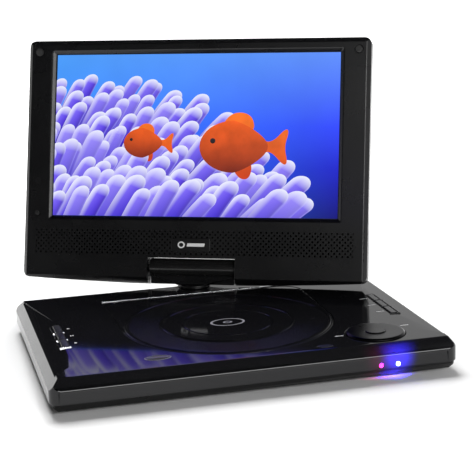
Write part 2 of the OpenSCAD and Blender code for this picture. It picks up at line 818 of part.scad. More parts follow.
// The whole housing, drawn in by g
module housing_block(g) {
    w = screen_w / 2 - g;
    front = g - screen_front;
    rear = screen_rear - g;
    top = screen_top - g;
    roll = roll_r - g;
    front_roll = 3;
    rear_roll = 5;
    mid = 1.5;
    intersection() {
        along_y(front, rear) housing_outline(g);
        union() {
            along_x(-far, far) polygon([
                [front, 0], [front, top - front_roll], [front + front_roll - 0.5, top],
                [mid, top], [rear, top - rear_roll], [rear, 0]
            ]);
            intersection() {
                rod_x_axis(-far, far, roll);
                box([-far, front, -30], [far, rear, 0.1]);
            }
        }
        translate([0, 0, -far]) linear_extrude(3 * far) polygon([
            [-w, front + front_roll - 0.5], [front_roll - w, front], [w - front_roll, front],
            [w, front + front_roll - 0.5], [w, mid], [w - rear_roll, rear],
            [rear_roll - w, rear], [-w, mid]
        ]);
    }
}

// The hollow housing, walled round the hinge notch
module housing_shell() {
    difference() {
        union() {
            difference() {
                housing_block(0);
                housing_block(skin);
            }
            intersection() {
                housing_block(0);
                box([-notch_half - skin, -far, -30], [notch_half + skin, far, notch_top + skin]);
            }
        }
        box([-notch_half, -far, -30], [notch_half, far, notch_top]);
        rod_x_axis(-notch_half - 4, notch_half + 4, tilt_pin_r + run);
    }
}

// Sloping window round the picture
module window_cut() {
    hw = picture_w / 2;
    hh = picture_h / 2;
    translate([0, 0, picture_v]) {
        box([-hw - 0.4, -screen_front - 1, -hh - 0.4], [hw + 0.4, 0, hh + 0.4]);
        intersection() {
            along_y(-screen_front - 1, 2.2 - screen_front)
                square([2 * hw + 5.4, 2 * hh + 5.4], center = true);
            along_x(-far, far) polygon([
                [-screen_front - 0.1, -hh - 2.8], [-screen_front - 0.1, hh + 2.8],
                [-screen_front + 1.9, hh], [-screen_front + 1.9, -hh]
            ]);
            translate([0, 0, -far]) linear_extrude(2 * far) polygon([
                [-hw - 2.8, -screen_front - 0.1], [hw + 2.8, -screen_front - 0.1],
                [hw, -screen_front + 1.9], [-hw, -screen_front + 1.9]
            ]);
        }
    }
}

module screen_bezel() {
    pitch = 3.7;
    color([0.06, 0.06, 0.07]) at_screen() difference() {
        union() {
            intersection() {
                housing_shell();
                box([-far, -20, -30], [far, split_y, far]);
            }
            // posts for the cover's screws
            for (p = screen_posts) translate([p[0], 0, p[1]])
                along_y(-screen_front + 1, split_y) circle(r = 2.8);
        }
        window_cut();
        // sound holes in front of each speaker
        for (s = [-1, 1], i = [-3 : 3], j = [-4 : 4])
            if ((i + j) % 2 == 0) translate([s * speaker_u + i * pitch, 0, speaker_v + j * 1.9])
                along_y(-20, split_y) circle(r = 0.7, $fn = 16);
        for (s = [-1, 1]) translate([s * bumper_at[0], 0, bumper_at[1]])
            along_y(-20, 1.2 - screen_front) circle(r = 2.7);
        translate([sensor_at[0], 0, sensor_at[1]]) along_y(-20, 0) circle(r = 1.35);
        for (p = screen_posts) translate([p[0], 0, p[1]]) along_y(2.4 - screen_front, 0) circle(r = 0.95);
    }
}

module screen_back() {
    color([0.06, 0.06, 0.07]) at_screen() difference() {
        union() {
            intersection() {
                housing_shell();
                box([-far, split_y, -30], [far, 30, far]);
            }
            for (p = screen_posts) translate([p[0], 0, p[1]])
                along_y(split_y, screen_rear - 1) circle(r = 2.8);
        }
        for (p = screen_posts) translate([p[0], 0, p[1]]) {
            along_y(-20, 20) circle(r = 1.1);
            along_y(screen_rear - 2.6, 20) circle(r = 2.5);
        }
        // vents above the board
        for (i = [-4 : 4]) translate([i * 7, 0, 132]) along_y(0, 20) rotate(90) stadium(12, 2.2);
    }
}

module lcd_panel() {
    color([0.2, 0.3, 0.8]) at_screen() translate([0, 0, picture_v])
        box([-103.5, lcd_y[0], -60.5], [103.5, lcd_y[1], 60.5]);
}

module screen_board() {
    color([0.1, 0.35, 0.18]) at_screen() {
        box([-70, -1, 58], [70, 0.2, 112]);
        box([-50, 0.2, 66], [-30, 2.4, 86]);
        box([10, 0.2, 70], [26, 2, 80]);
        box([34, 0.2, 92], [62, 4, 102]);
        for (x = [-14, -4]) translate([x, 0, 98]) along_y(0.2, 5.4) circle(r = 3);
    }
}

module speakers() {
    color([0.2, 0.2, 0.2]) at_screen() for (s = [-1, 1]) translate([s * speaker_u, 0, speaker_v]) {
        along_y(-7.5, -4.5) stadium(32, 18.6);
        along_y(-4.6, -0.6) circle(r = 7);
    }
}

module plain_badge() {
    color([0.3, 0.3, 0.32]) at_screen() translate([0, 0, speaker_v])
        along_y(-screen_front - 0.5, -screen_front) round_rect(-13.5, 13.5, -4.6, 4.6, 1.4);
}

module screen_bumpers() {
    color([0.03, 0.03, 0.03]) at_screen() for (s = [-1, 1])
        translate([s * bumper_at[0], 0, bumper_at[1]]) {
            along_y(-screen_front - 0.9, 1.2 - screen_front) circle(r = 2.6);
            along_y(-screen_front - 1.3, -screen_front) circle(r = 2);
        }
}

module sensor_window() {
    color([0.3, 0.05, 0.05]) at_screen() translate([sensor_at[0], 0, sensor_at[1]]) {
        along_y(-screen_front - 0.1, -7) circle(r = 1.25);
        along_y(-7.6, -5.6) circle(r = 2);
    }
}

module tilt_pins() {
    color("silver") at_screen() for (s = [-1, 1])
        rod_x_axis(min(s * 17, s * 46), max(s * 17, s * 46), tilt_pin_r);
}

module hinge_brackets() {
    color([0.6, 0.6, 0.62]) at_screen() for (s = [-1, 1]) difference() {
        box([s * 40 - 6.4, -4.6, -4.6], [s * 40 + 6.4, 4.6, 14]);
        rod_x_axis(-60, 60, tilt_pin_r);
    }
}

module screen_screws() {
    color("silver") at_screen() for (p = screen_posts) translate([p[0], screen_rear - 2.6, p[1]])
        rotate([90, 0, 0]) screw_up(2.3, 1.4, 0.9, 9);
}

upper_casing();
lower_casing();
battery_cover();
rubber_feet();
casing_screws();
battery_cells();
main_board();
board_chips();
headphone_jack();
av_jack();
dc_jack();
switch_boards();
dome_switches();
power_lamp();
charge_lamp();
hinge_trim();
drive_chassis();
chassis_dampers();
chassis_screws();
guide_rods();
sled_motor();
spindle_stator();
spindle_rotor();
disc_turntable();
disc_clips();
optical_sled();
objective_lens();
lead_screw();
disc_lid();
lid_hinge_pins();
lid_spring();
open_button();
latch_slider();
direction_ring();
ok_button();
side_key(-1, 0);  // key_left_rear
side_key(-1, 1);  // key_left_middle
side_key(-1, 2);  // key_left_front
side_key(1, 0);  // key_right_rear
side_key(1, 1);  // key_right_middle
side_key(1, 2);  // key_right_front
power_switch();
swivel_bush();
swivel_column();
swivel_nut();
hinge_cover();
screen_bezel();
screen_back();
lcd_panel();
screen_board();
speakers();
plain_badge();
screen_bumpers();
sensor_window();
tilt_pins();
hinge_brackets();
screen_screws();
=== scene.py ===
"""Looks for a portable disc player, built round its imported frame.

The frame gives the sizes and places of the parts. This script rounds their edges and gives each
its finish. It adds what the frame leaves plain: the sound grille, the lit picture, the lid's
studs and sign, the badges, and the trims and signs by the keys.
"""

from __future__ import annotations

import json
import logging
import math
from dataclasses import dataclass
from enum import Enum
from typing import Callable, Iterable, Sequence

import bmesh
import bpy
import numpy as np
from mathutils import Matrix, Vector

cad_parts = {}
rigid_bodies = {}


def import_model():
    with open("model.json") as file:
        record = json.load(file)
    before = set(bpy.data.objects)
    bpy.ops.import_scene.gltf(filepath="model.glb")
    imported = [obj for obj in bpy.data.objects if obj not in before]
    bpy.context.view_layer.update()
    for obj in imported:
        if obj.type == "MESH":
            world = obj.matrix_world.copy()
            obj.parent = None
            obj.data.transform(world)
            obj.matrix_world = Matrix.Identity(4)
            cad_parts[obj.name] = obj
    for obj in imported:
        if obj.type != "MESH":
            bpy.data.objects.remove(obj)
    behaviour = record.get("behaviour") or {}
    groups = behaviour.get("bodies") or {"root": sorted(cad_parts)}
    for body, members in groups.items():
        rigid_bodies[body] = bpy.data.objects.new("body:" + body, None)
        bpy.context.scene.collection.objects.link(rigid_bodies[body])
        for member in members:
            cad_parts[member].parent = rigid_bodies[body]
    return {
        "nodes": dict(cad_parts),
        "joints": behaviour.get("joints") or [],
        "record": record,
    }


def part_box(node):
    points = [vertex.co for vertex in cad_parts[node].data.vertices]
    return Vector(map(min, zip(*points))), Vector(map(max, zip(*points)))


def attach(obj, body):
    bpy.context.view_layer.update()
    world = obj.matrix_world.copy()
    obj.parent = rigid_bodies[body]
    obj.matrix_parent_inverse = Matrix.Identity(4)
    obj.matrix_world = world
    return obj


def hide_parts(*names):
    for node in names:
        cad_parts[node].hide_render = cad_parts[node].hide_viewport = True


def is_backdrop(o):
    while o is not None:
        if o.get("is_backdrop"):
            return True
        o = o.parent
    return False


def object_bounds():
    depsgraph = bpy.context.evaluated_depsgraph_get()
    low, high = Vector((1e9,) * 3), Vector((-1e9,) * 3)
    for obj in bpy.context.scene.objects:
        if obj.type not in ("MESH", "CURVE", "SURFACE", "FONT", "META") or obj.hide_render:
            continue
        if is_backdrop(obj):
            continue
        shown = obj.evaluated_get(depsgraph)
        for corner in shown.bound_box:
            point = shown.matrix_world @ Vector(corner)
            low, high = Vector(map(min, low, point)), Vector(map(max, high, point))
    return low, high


MM = 0.001
MERGE_M = 2e-6
FLAT_ANGLE = 0.3
SHARP_ANGLE = 25.0
RULE_SEGMENTS = 3
SHADE_ANGLE = 40.0
FACE_WEIGHT = 80
LOG = logging.getLogger("disc_player")
Colour = tuple[float, float, float]
Point = tuple[float, float, float]
Pair = tuple[float, float]


# ---------------------------------------------------------------- frame


class Frame:
    """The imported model: its nodes, joints and the screen's own axes."""

    def __init__(self) -> None:
        """Loads the frame and works out where the screen stands."""
        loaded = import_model()
        self.nodes: dict[str, bpy.types.Object] = loaded["nodes"]
        self.joints: dict[str, dict] = {j["name"]: j for j in loaded["joints"]}
        self.slots: dict[str, str] = {
            s["node"]: s["material_slot"] for s in loaded["record"]["subparts"]
        }
        self.body_of: dict[str, str] = {
            node: body
            for body, members in loaded["record"]["behaviour"]["bodies"].items()
            for node in members
        }
        self.cad_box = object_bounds()

    @property
    def screen_place(self) -> Matrix:
        """The screen's axes: X across, Z up the panel, -Y to its front."""
        tilt = self.joints["screen_tilt"]
        closed = math.radians(tilt["range_deg"][0])
        lean = -closed - math.pi / 2
        return (
            Matrix.Translation(Vector(tilt["pos_m"]))
            @ self.swivel_turn
            @ Matrix.Rotation(-lean, 4, "X")
        )

    @property
    def swivel_turn(self) -> Matrix:
        """The turn of the hinge column about the upright axis."""
        turn = math.radians(self.joints["screen_swivel"]["range_deg"][1])
        return Matrix.Rotation(-turn, 4, "Z")

    def local_box(self, node: str, place: Matrix) -> tuple[Vector, Vector]:
        """A node's box along another set of axes.

        Args:
            node: The CAD node's name.
            place: The axes, as a matrix from them to the frame.

        Returns:
            The lowest and the highest corner, in millimetres along those axes.
        """
        back = place.inverted()
        points = np.array([back @ v.co for v in self.nodes[node].data.vertices])
        return Vector(points.min(0)) / MM, Vector(points.max(0)) / MM


# ---------------------------------------------------------------- node trees


class Nodes:
    """A node tree and short ways to add to it."""

    def __init__(self, tree: bpy.types.NodeTree) -> None:
        """Takes the tree that nodes are added to."""
        self.tree = tree

    def put(self, socket: bpy.types.NodeSocket, value: object) -> None:
        """Feeds a socket from another socket, or sets its value; a colour may lack its alpha."""
        if isinstance(value, bpy.types.NodeSocket):
            self.tree.links.new(value, socket)
        elif socket.type == "RGBA" and len(value) == 3:
            socket.default_value = (*value, 1.0)
        else:
            socket.default_value = value

    def add(
        self, kind: str, inputs: dict[str | int, object] | None = None, **settings: object
    ) -> bpy.types.Node:
        """Adds a node.

        Args:
            kind: The node's type.
            inputs: Its inputs by name or number, each a socket to link or a value to set.
            settings: The node's own properties.

        Returns:
            The node.
        """
        made = self.tree.nodes.new(kind)
        for key, value in settings.items():
            setattr(made, key, value)
        for key, value in (inputs or {}).items():
            self.put(made.inputs[key], value)
        return made

    def sum(self, operation: str, first: object, second: object = 0.0) -> bpy.types.NodeSocket:
        """Adds a Math node on sockets or numbers and gives its output."""
        return self.add("ShaderNodeMath", {0: first, 1: second}, operation=operation).outputs[0]

    def vector_sum(self, operation: str, first: object, second: object) -> bpy.types.Node:
        """Adds a Vector Math node on sockets or vectors."""
        return self.add("ShaderNodeVectorMath", {0: first, 1: second}, operation=operation)

    def length(self, vector: bpy.types.NodeSocket) -> bpy.types.NodeSocket:
        """Gives the length of a vector."""
        made = self.add("ShaderNodeVectorMath", {0: vector}, operation="LENGTH")
        return made.outputs["Value"]

    def split(self, vector: bpy.types.NodeSocket) -> bpy.types.NodeOutputs:
        """Gives a vector's X, Y and Z."""
        return self.add("ShaderNodeSeparateXYZ", {0: vector}).outputs

    def coordinates(self, kind: str) -> bpy.types.NodeSocket:
        """Gives the texture coordinates of one kind, such as Object or UV."""
        return self.add("ShaderNodeTexCoord").outputs[kind]

    def spread(
        self, value: bpy.types.NodeSocket, start: Pair, end: Sequence[object] = (0.0, 1.0),
        kind: str = "LINEAR",
    ) -> bpy.types.NodeSocket:
        """Carries a value from one range to another.

        Args:
            value: The value's socket.
            start: The range it is in.
            end: The range it is taken to, as sockets or numbers.
            kind: The way it goes between them.

        Returns:
            The new value's socket.
        """
        ends = dict(zip(("From Min", "From Max", "To Min", "To Max"), (*start, *end)))
        made = self.add("ShaderNodeMapRange", {"Value": value, **ends}, interpolation_type=kind)
        return made.outputs["Result"]


class NodeGroup(Nodes):
    """A node group under construction, with named inputs and one output."""

    KINDS = {
        float: "NodeSocketFloat",
        int: "NodeSocketInt",
        tuple: "NodeSocketColor",
        Vector: "NodeSocketVector",
        bpy.types.Object: "NodeSocketObject",
        bpy.types.Material: "NodeSocketMaterial",
    }

    def __init__(
        self, name: str, kind: str, inputs: dict[str, object], output: str, output_kind: str
    ) -> None:
        """Makes the empty group.

        Args:
            name: The group's name.
            kind: The type of tree.
            inputs: The named inputs with their values.
            output: The output's name.
            output_kind: The output's socket type.
        """
        super().__init__(bpy.data.node_groups.new(name, kind))
        self.values = inputs
        self.ids: dict[str, str] = {}
        for label, value in inputs.items():
            socket = self.tree.interface.new_socket(
                label, in_out="INPUT", socket_type=self.KINDS[type(value)]
            )
            self.ids[label] = socket.identifier
            if not isinstance(value, bpy.types.ID):
                socket.default_value = (*value, 1.0) if isinstance(value, tuple) else value
        self.tree.interface.new_socket(output, in_out="OUTPUT", socket_type=output_kind)
        self.source = self.add("NodeGroupInput")
        self.sink = self.add("NodeGroupOutput")

    def named(self, label: str) -> bpy.types.NodeSocket:
        """Gives the socket of a named input."""
        return self.source.outputs[label]

    def finish(self, result: bpy.types.NodeSocket) -> None:
        """Sends a socket to the group's output."""
        self.put(self.sink.inputs[0], result)


# ---------------------------------------------------------------- shared effects


class Effect(Enum):
    """Node groups that several materials share."""

    GRAIN = "surface_grain"
    HANDLING = "handling"
    DRIFT = "colour_drift"
    EDGES = "worn_edges"
    TURNED = "turned_rings"
    DUST = "dust_specks"


class EffectGroup(NodeGroup):
    """A shared effect under construction."""

    def __init__(
        self, effect: Effect, inputs: dict[str, object], output: str,
        output_kind: str = "NodeSocketFloat",
    ) -> None:
        """Makes the empty group of an effect, with its inputs and its output."""
        super().__init__(effect.value, "ShaderNodeTree", inputs, output, output_kind)

    def noise(self, detail: float) -> bpy.types.NodeSocket:
        """Gives a noise on Object coordinates at the input Scale."""
        made = self.add("ShaderNodeTexNoise", {
            "Vector": self.coordinates("Object"), "Scale": self.named("Scale"), "Detail": detail,
        })
        return made.outputs["Fac"]


def make_grain() -> None:
    """Fine moulded grain, as a height."""
    group = EffectGroup(Effect.GRAIN, {"Scale": 2000.0}, "Height")
    group.finish(group.noise(3.0))


def make_handling() -> None:
    """Roughness that wanders between clean and handled patches."""
    group = EffectGroup(
        Effect.HANDLING, {"Scale": 30.0, "Clean": 0.1, "Handled": 0.2}, "Roughness"
    )
    ends = (group.named("Clean"), group.named("Handled"))
    group.finish(group.spread(group.noise(4.0), (0.35, 0.65), ends))


def make_drift() -> None:
    """A colour that drifts a little lighter and darker."""
    inputs = {"Scale": 40.0, "Amount": 0.1, "Base": (0.5, 0.5, 0.5)}
    group = EffectGroup(Effect.DRIFT, inputs, "Colour", "NodeSocketColor")
    centred = group.sum("SUBTRACT", group.noise(3.0), 0.5)
    gain = group.sum("ADD", group.sum("MULTIPLY", centred, group.named("Amount")), 1.0)
    scaled = {0: group.named("Base"), "Scale": gain}
    group.finish(group.add("ShaderNodeVectorMath", scaled, operation="SCALE").outputs[0])


def make_edges() -> None:
    """A mask that rises on rounded outer edges, where a finish is rubbed."""
    group = EffectGroup(Effect.EDGES, {"Amount": 1.0}, "Mask")
    pointed = group.add("ShaderNodeNewGeometry").outputs["Pointiness"]
    edge = group.spread(pointed, (0.52, 0.62))
    group.finish(group.sum("MULTIPLY", edge, group.named("Amount")))


def make_turned() -> None:
    """Fine rings about an upright axis, as a height: a face finished on a lathe."""
    inputs = {"Pitch": 0.0003, "Centre": Vector((0.0, 0.0, 0.0))}
    group = EffectGroup(Effect.TURNED, inputs, "Height")
    shift = group.vector_sum("SUBTRACT", group.coordinates("Object"), group.named("Centre"))
    flat = group.vector_sum("MULTIPLY", shift.outputs[0], (1.0, 1.0, 0.0))
    rings = group.sum("DIVIDE", group.length(flat.outputs[0]), group.named("Pitch"))
    noise = group.add(
        "ShaderNodeTexNoise", {"Scale": 1.0, "Detail": 2.0, "W": rings}, noise_dimensions="1D"
    )
    group.finish(noise.outputs["Fac"])


def make_dust() -> None:
    """A mask of sparse fine specks."""
    group = EffectGroup(Effect.DUST, {"Scale": 900.0, "Cover": 0.06}, "Mask")
    cells = group.add("ShaderNodeTexVoronoi", {
        "Vector": group.coordinates("Object"), "Scale": group.named("Scale"),
    })
    group.finish(group.sum("LESS_THAN", cells.outputs["Distance"], group.named("Cover")))


EFFECT_MAKERS: tuple[Callable[[], None], ...] = (
    make_grain, make_handling, make_drift, make_edges, make_turned, make_dust,
)


# ---------------------------------------------------------------- finishes


class Shader(Nodes):
    """A material with its Principled BSDF and short ways to feed it."""

    def __init__(self, name: str) -> None:
        """Makes the material by its name."""
        self.material = bpy.data.materials.new(name)
        self.material.use_nodes = True
        super().__init__(self.material.node_tree)
        self.surface = self.tree.nodes["Principled BSDF"]

    def set(self, **values: object) -> None:
        """Sets the shader's own sockets; an underscore in a name stands for a space."""
        for key, value in values.items():
            self.surface.inputs[key.replace("_", " ")].default_value = value

    def feed(self, start: bpy.types.NodeSocket, name: str) -> None:
        """Links a socket to one of the shader's inputs."""
        self.put(self.surface.inputs[name], start)

    def effect(self, effect: Effect, **values: object) -> bpy.types.NodeSocket:
        """Places a shared group with its own values and returns its output."""
        group = bpy.data.node_groups[effect.value]
        return self.add("ShaderNodeGroup", values, node_tree=group).outputs[0]

    def blend(
        self, factor: object, under: object, over: object, kind: str = "MIX"
    ) -> bpy.types.NodeSocket:
        """Blends two colours.

        Args:
            factor: How far, a socket or a number.
            under: The first colour, a socket or a colour.
            over: The second colour, a socket or a colour.
            kind: The way they blend.

        Returns:
            The blended colour's socket.
        """
        node = self.add("ShaderNodeMix", {0: factor}, data_type="RGBA", blend_type=kind)
        colours = (socket for socket in node.inputs if socket.type == "RGBA")
        for socket, value in zip(colours, (under, over)):
            self.put(socket, value)
        return next(socket for socket in node.outputs if socket.type == "RGBA")

    def ramp(
        self, factor: bpy.types.NodeSocket, stops: Sequence[tuple[float, Colour]]
    ) -> bpy.types.NodeSocket:
        """Turns a value into a colour by stops of (place, colour)."""
        node = self.add("ShaderNodeValToRGB", {"Fac": factor})
        elements = node.color_ramp.elements
        while len(elements) < len(stops):
            elements.new(1.0)
        for element, (at, colour) in zip(elements, stops):
            element.position = at
            element.color = (*colour, 1.0)
        return node.outputs["Color"]

    def attribute(self, name: str) -> bpy.types.NodeSocket:
        """Reads one of the piece's own attributes as a value."""
        return self.add("ShaderNodeAttribute", attribute_name=name).outputs["Fac"]

    def bump(self, height: bpy.types.NodeSocket, depth_mm: float) -> None:
        """Adds a bump of the given depth."""
        inputs = {"Strength": 1.0, "Distance": depth_mm * MM, "Height": height}
        self.feed(self.add("ShaderNodeBump", inputs).outputs["Normal"], "Normal")

    def lit(self, colour: bpy.types.NodeSocket, specular: float = 0.5) -> bpy.types.Material:
        """Makes the surface a lit picture of a colour, under a faint gloss."""
        self.feed(colour, "Emission Color")
        self.set(Base_Color=(0, 0, 0, 1), Emission_Strength=1.0, Roughness=0.3)
        self.set(Specular_IOR_Level=specular)
        return self.material


@dataclass(frozen=True)
class Finish:
    """How one kind of surface looks."""

    name: str
    colour: Colour
    clean: float
    handled: float
    metallic: float = 0.0
    grain_mm: float = 0.6
    grain_depth_mm: float = 0.002
    drift: float = 0.15
    patch_mm: float = 30.0
    rubbed: Colour | None = None
    specks: float = 0.0
    specular: float = 0.5

    def build(self) -> bpy.types.Material:
        """Makes the material from the shared effects."""
        shader = Shader(self.name)
        colour = shader.effect(
            Effect.DRIFT, Base=self.colour, Amount=self.drift, Scale=1 / (self.patch_mm * MM)
        )
        if self.rubbed is not None:
            colour = shader.blend(shader.effect(Effect.EDGES, Amount=0.6), colour, self.rubbed)
        if self.specks:
            mask = shader.effect(Effect.DUST, Cover=self.specks)
            colour = shader.blend(mask, colour, (0.25, 0.25, 0.25))
        shader.feed(colour, "Base Color")
        shader.feed(
            shader.effect(
                Effect.HANDLING, Clean=self.clean, Handled=self.handled,
                Scale=1 / (self.patch_mm * MM),
            ),
            "Roughness",
        )
        shader.set(Metallic=self.metallic, Specular_IOR_Level=self.specular)
        if self.grain_depth_mm:
            grain = shader.effect(Effect.GRAIN, Scale=1 / (self.grain_mm * MM))
            shader.bump(grain, self.grain_depth_mm)
        return shader.material


FINISHES: tuple[Finish, ...] = (
    Finish("deck_gloss", (0.006, 0.006, 0.007), 0.05, 0.09, grain_mm=9, grain_depth_mm=0.0012,
           specks=0.03, specular=0.4),
    Finish("side_satin", (0.008, 0.008, 0.008), 0.2, 0.28, grain_depth_mm=0.001, specular=0.14),
    Finish("under_matte", (0.012, 0.012, 0.012), 0.45, 0.55, grain_mm=0.5, grain_depth_mm=0.02),
    Finish("bezel_satin", (0.004, 0.004, 0.0045), 0.25, 0.31, grain_mm=0.4, grain_depth_mm=0.0015,
           specular=0.4),
    Finish("lid_gloss", (0.006, 0.006, 0.007), 0.05, 0.09, grain_mm=9, grain_depth_mm=0.0012,
           specks=0.03, specular=0.4),
    Finish("key_satin", (0.008, 0.008, 0.008), 0.2, 0.28, rubbed=(0.05, 0.05, 0.055),
           specular=0.3),
    Finish("rubber", (0.012, 0.012, 0.012), 0.7, 0.85, grain_mm=0.4, grain_depth_mm=0.01),
    Finish("screw_zinc", (0.42, 0.42, 0.44), 0.25, 0.4, metallic=1.0, rubbed=(0.7, 0.7, 0.7)),
    Finish("bright_chrome", (0.82, 0.83, 0.85), 0.06, 0.12, metallic=1.0, grain_depth_mm=0.0),
    Finish("pressed_steel", (0.5, 0.5, 0.51), 0.28, 0.42, metallic=1.0, rubbed=(0.75, 0.75, 0.75)),
    Finish("turned_brass", (0.72, 0.5, 0.2), 0.2, 0.35, metallic=1.0),
    Finish("copper_wire", (0.75, 0.32, 0.14), 0.25, 0.4, metallic=1.0, grain_mm=0.5,
           grain_depth_mm=0.05),
    Finish("solder_mask", (0.01, 0.12, 0.04), 0.25, 0.4, grain_mm=1.5, grain_depth_mm=0.02),
    Finish("chip_epoxy", (0.02, 0.02, 0.022), 0.4, 0.55, grain_mm=0.3, grain_depth_mm=0.01),
    Finish("cell_wrap", (0.03, 0.12, 0.35), 0.25, 0.4, patch_mm=12),
    Finish("drive_plastic", (0.03, 0.03, 0.034), 0.35, 0.5, grain_mm=0.3, grain_depth_mm=0.01),
    Finish("jack_plastic", (0.01, 0.01, 0.01), 0.35, 0.5),
    Finish("badge_grey", (0.05, 0.05, 0.055), 0.16, 0.22, rubbed=(0.3, 0.3, 0.32)),
    Finish("mark_white", (0.75, 0.75, 0.75), 0.5, 0.6),
    # Near-black matte for the grille cups' floors and walls: painted shade in the hollows.
    Finish("hollow_black", (0.002, 0.002, 0.002), 0.8, 0.95, specular=0.05),
    Finish("mark_grey", (0.3, 0.3, 0.31), 0.5, 0.6),
    Finish("hinge_gloss", (0.01, 0.01, 0.01), 0.18, 0.24, grain_depth_mm=0.001),
)


def spun_metal(centre: Point) -> bpy.types.Material:
    """Dark metal turned about the direction ring's axis.

    Args:
        centre: A point on the axis, in metres.

    Returns:
        The material.
    """
    shader = Shader("spun_metal")
    shader.feed(shader.effect(Effect.DRIFT, Base=(0.012, 0.012, 0.013), Amount=0.3), "Base Color")
    shader.feed(shader.effect(Effect.HANDLING, Clean=0.24, Handled=0.32), "Roughness")
    shader.set(Metallic=1.0)
    shader.bump(shader.effect(Effect.TURNED, Centre=centre, Pitch=0.00045), 0.03)
    return shader.material


def lamp_lens(name: str, colour: Colour, strength: float) -> bpy.types.Material:
    """A lit lamp: the lens glows in its colour, drifting a little lighter and darker.

    Args:
        name: The material's name.
        colour: The light's colour.
        strength: How strongly it shines.

    Returns:
        The material.
    """
    shader = Shader(name)
    glow = shader.effect(Effect.DRIFT, Base=colour, Amount=0.3, Scale=1500.0)
    shader.feed(glow, "Base Color")
    shader.feed(glow, "Emission Color")
    shader.set(Emission_Strength=strength, Roughness=0.2)
    return shader.material


def clear_glass(name: str, tint: Colour) -> bpy.types.Material:
    """Clear glass with faint handling marks.

    Args:
        name: The material's name.
        tint: The glass's colour.

    Returns:
        The material.
    """
    shader = Shader(name)
    shader.set(Transmission_Weight=1.0, Base_Color=(*tint, 1.0), IOR=1.5)
    shader.feed(shader.effect(Effect.HANDLING, Clean=0.02, Handled=0.06), "Roughness")
    return shader.material


# ---------------------------------------------------------------- meshes


def oval(
    middle: Sequence[float], radii: Sequence[float], height: float, count: int
) -> list[Point]:
    """Gives points round a circle or an oval.

    Args:
        middle: Its middle.
        radii: Its radius along X and its radius along Y.
        height: The height of all its points.
        count: How many points there are.

    Returns:
        The points, starting from the one on the side of X.
    """
    turns = (2 * math.pi * i / count for i in range(count))
    return [
        (middle[0] + radii[0] * math.cos(turn), middle[1] + radii[1] * math.sin(turn), height)
        for turn in turns
    ]


class Draft:
    """Vertices and faces in millimetres, gathered before they become a mesh."""

    def __init__(self) -> None:
        """Starts empty."""
        self.bm = bmesh.new()

    def ring(self, points: Iterable[Sequence[float]]) -> list[bmesh.types.BMVert]:
        """Adds a ring of vertices."""
        return [self.bm.verts.new(p) for p in points]

    def bridge(self, a: list[bmesh.types.BMVert], b: list[bmesh.types.BMVert]) -> None:
        """Joins two closed rings of the same length with quads."""
        count = len(a)
        for i in range(count):
            j = (i + 1) % count
            self.bm.faces.new((a[i], a[j], b[j], b[i]))

    def loft(self, rings: Sequence[Iterable[Sequence[float]]], around: bool = False) -> None:
        """Joins a row of rings.

        Args:
            rings: The rings, each a list of points of the same length.
            around: Whether the last ring joins the first; if not, both are closed.
        """
        made = [self.ring(r) for r in rings]
        for a, b in zip(made, made[1:]):
            self.bridge(a, b)
        if around:
            self.bridge(made[-1], made[0])
        else:
            self.bm.faces.new(list(reversed(made[0])))
            self.bm.faces.new(made[-1])

    def box(self, low: Sequence[float], high: Sequence[float]) -> None:
        """Adds a box from its lowest to its highest corner."""
        made = bmesh.ops.create_cube(self.bm, size=1.0)
        size = Vector(high) - Vector(low)
        middle = (Vector(high) + Vector(low)) / 2
        for v in made["verts"]:
            v.co = Vector(v.co[i] * size[i] for i in range(3)) + middle

    def lathe(self, profile: Sequence[Pair], segments: int) -> None:
        """Turns a profile about an upright axis.

        Args:
            profile: Its points, each a radius and a height.
            segments: How many faces go round.
        """
        rings = [
            self.ring(oval((0, 0), (radius, radius), height, segments))
            for radius, height in profile
        ]
        for a, b in zip(rings, rings[1:]):
            self.bridge(a, b)

    def finish(
        self, name: str, place: Matrix | None = None, soft_angle: float = 35.0
    ) -> bpy.types.Object:
        """Turns the draft into an object in metres with its normals outwards.

        Args:
            name: The object's name.
            place: The axes it was drawn along, as a matrix to the frame.
            soft_angle: Edges up to this many degrees are shaded smooth.

        Returns:
            The new object, linked to the scene, with its place in its mesh.
        """
        bmesh.ops.remove_doubles(self.bm, verts=self.bm.verts, dist=1e-4)
        bmesh.ops.recalc_face_normals(self.bm, faces=self.bm.faces)
        mesh = bpy.data.meshes.new(name)
        self.bm.to_mesh(mesh)
        self.bm.free()
        mesh.transform((place or Matrix.Identity(4)) @ Matrix.Scale(MM, 4))
        obj = bpy.data.objects.new(name, mesh)
        bpy.context.scene.collection.objects.link(obj)
        soften(obj, soft_angle)
        return obj


def soften(obj: bpy.types.Object, angle: float) -> None:
    """Shades a mesh smooth except across edges sharper than an angle in degrees."""
    mesh = obj.data
    for polygon in mesh.polygons:
        polygon.use_smooth = True
    mesh.set_sharp_from_angle(angle=math.radians(angle))


def applied(obj: bpy.types.Object) -> bpy.types.Object:
    """Makes an object's modifiers part of its mesh."""
    graph = bpy.context.evaluated_depsgraph_get()
    mesh = bpy.data.meshes.new_from_object(obj.evaluated_get(graph))
    obj.modifiers.clear()
    obj.data = mesh
    return obj


def evened(obj: bpy.types.Object) -> bpy.types.Object:
    """Lets the broad faces set the shading, so they look flat beside their rounded edges."""
    soften(obj, SHADE_ANGLE)
    weighted = obj.modifiers.new("flat_faces", "WEIGHTED_NORMAL")
    weighted.keep_sharp = True
    weighted.weight = FACE_WEIGHT
    return applied(obj)


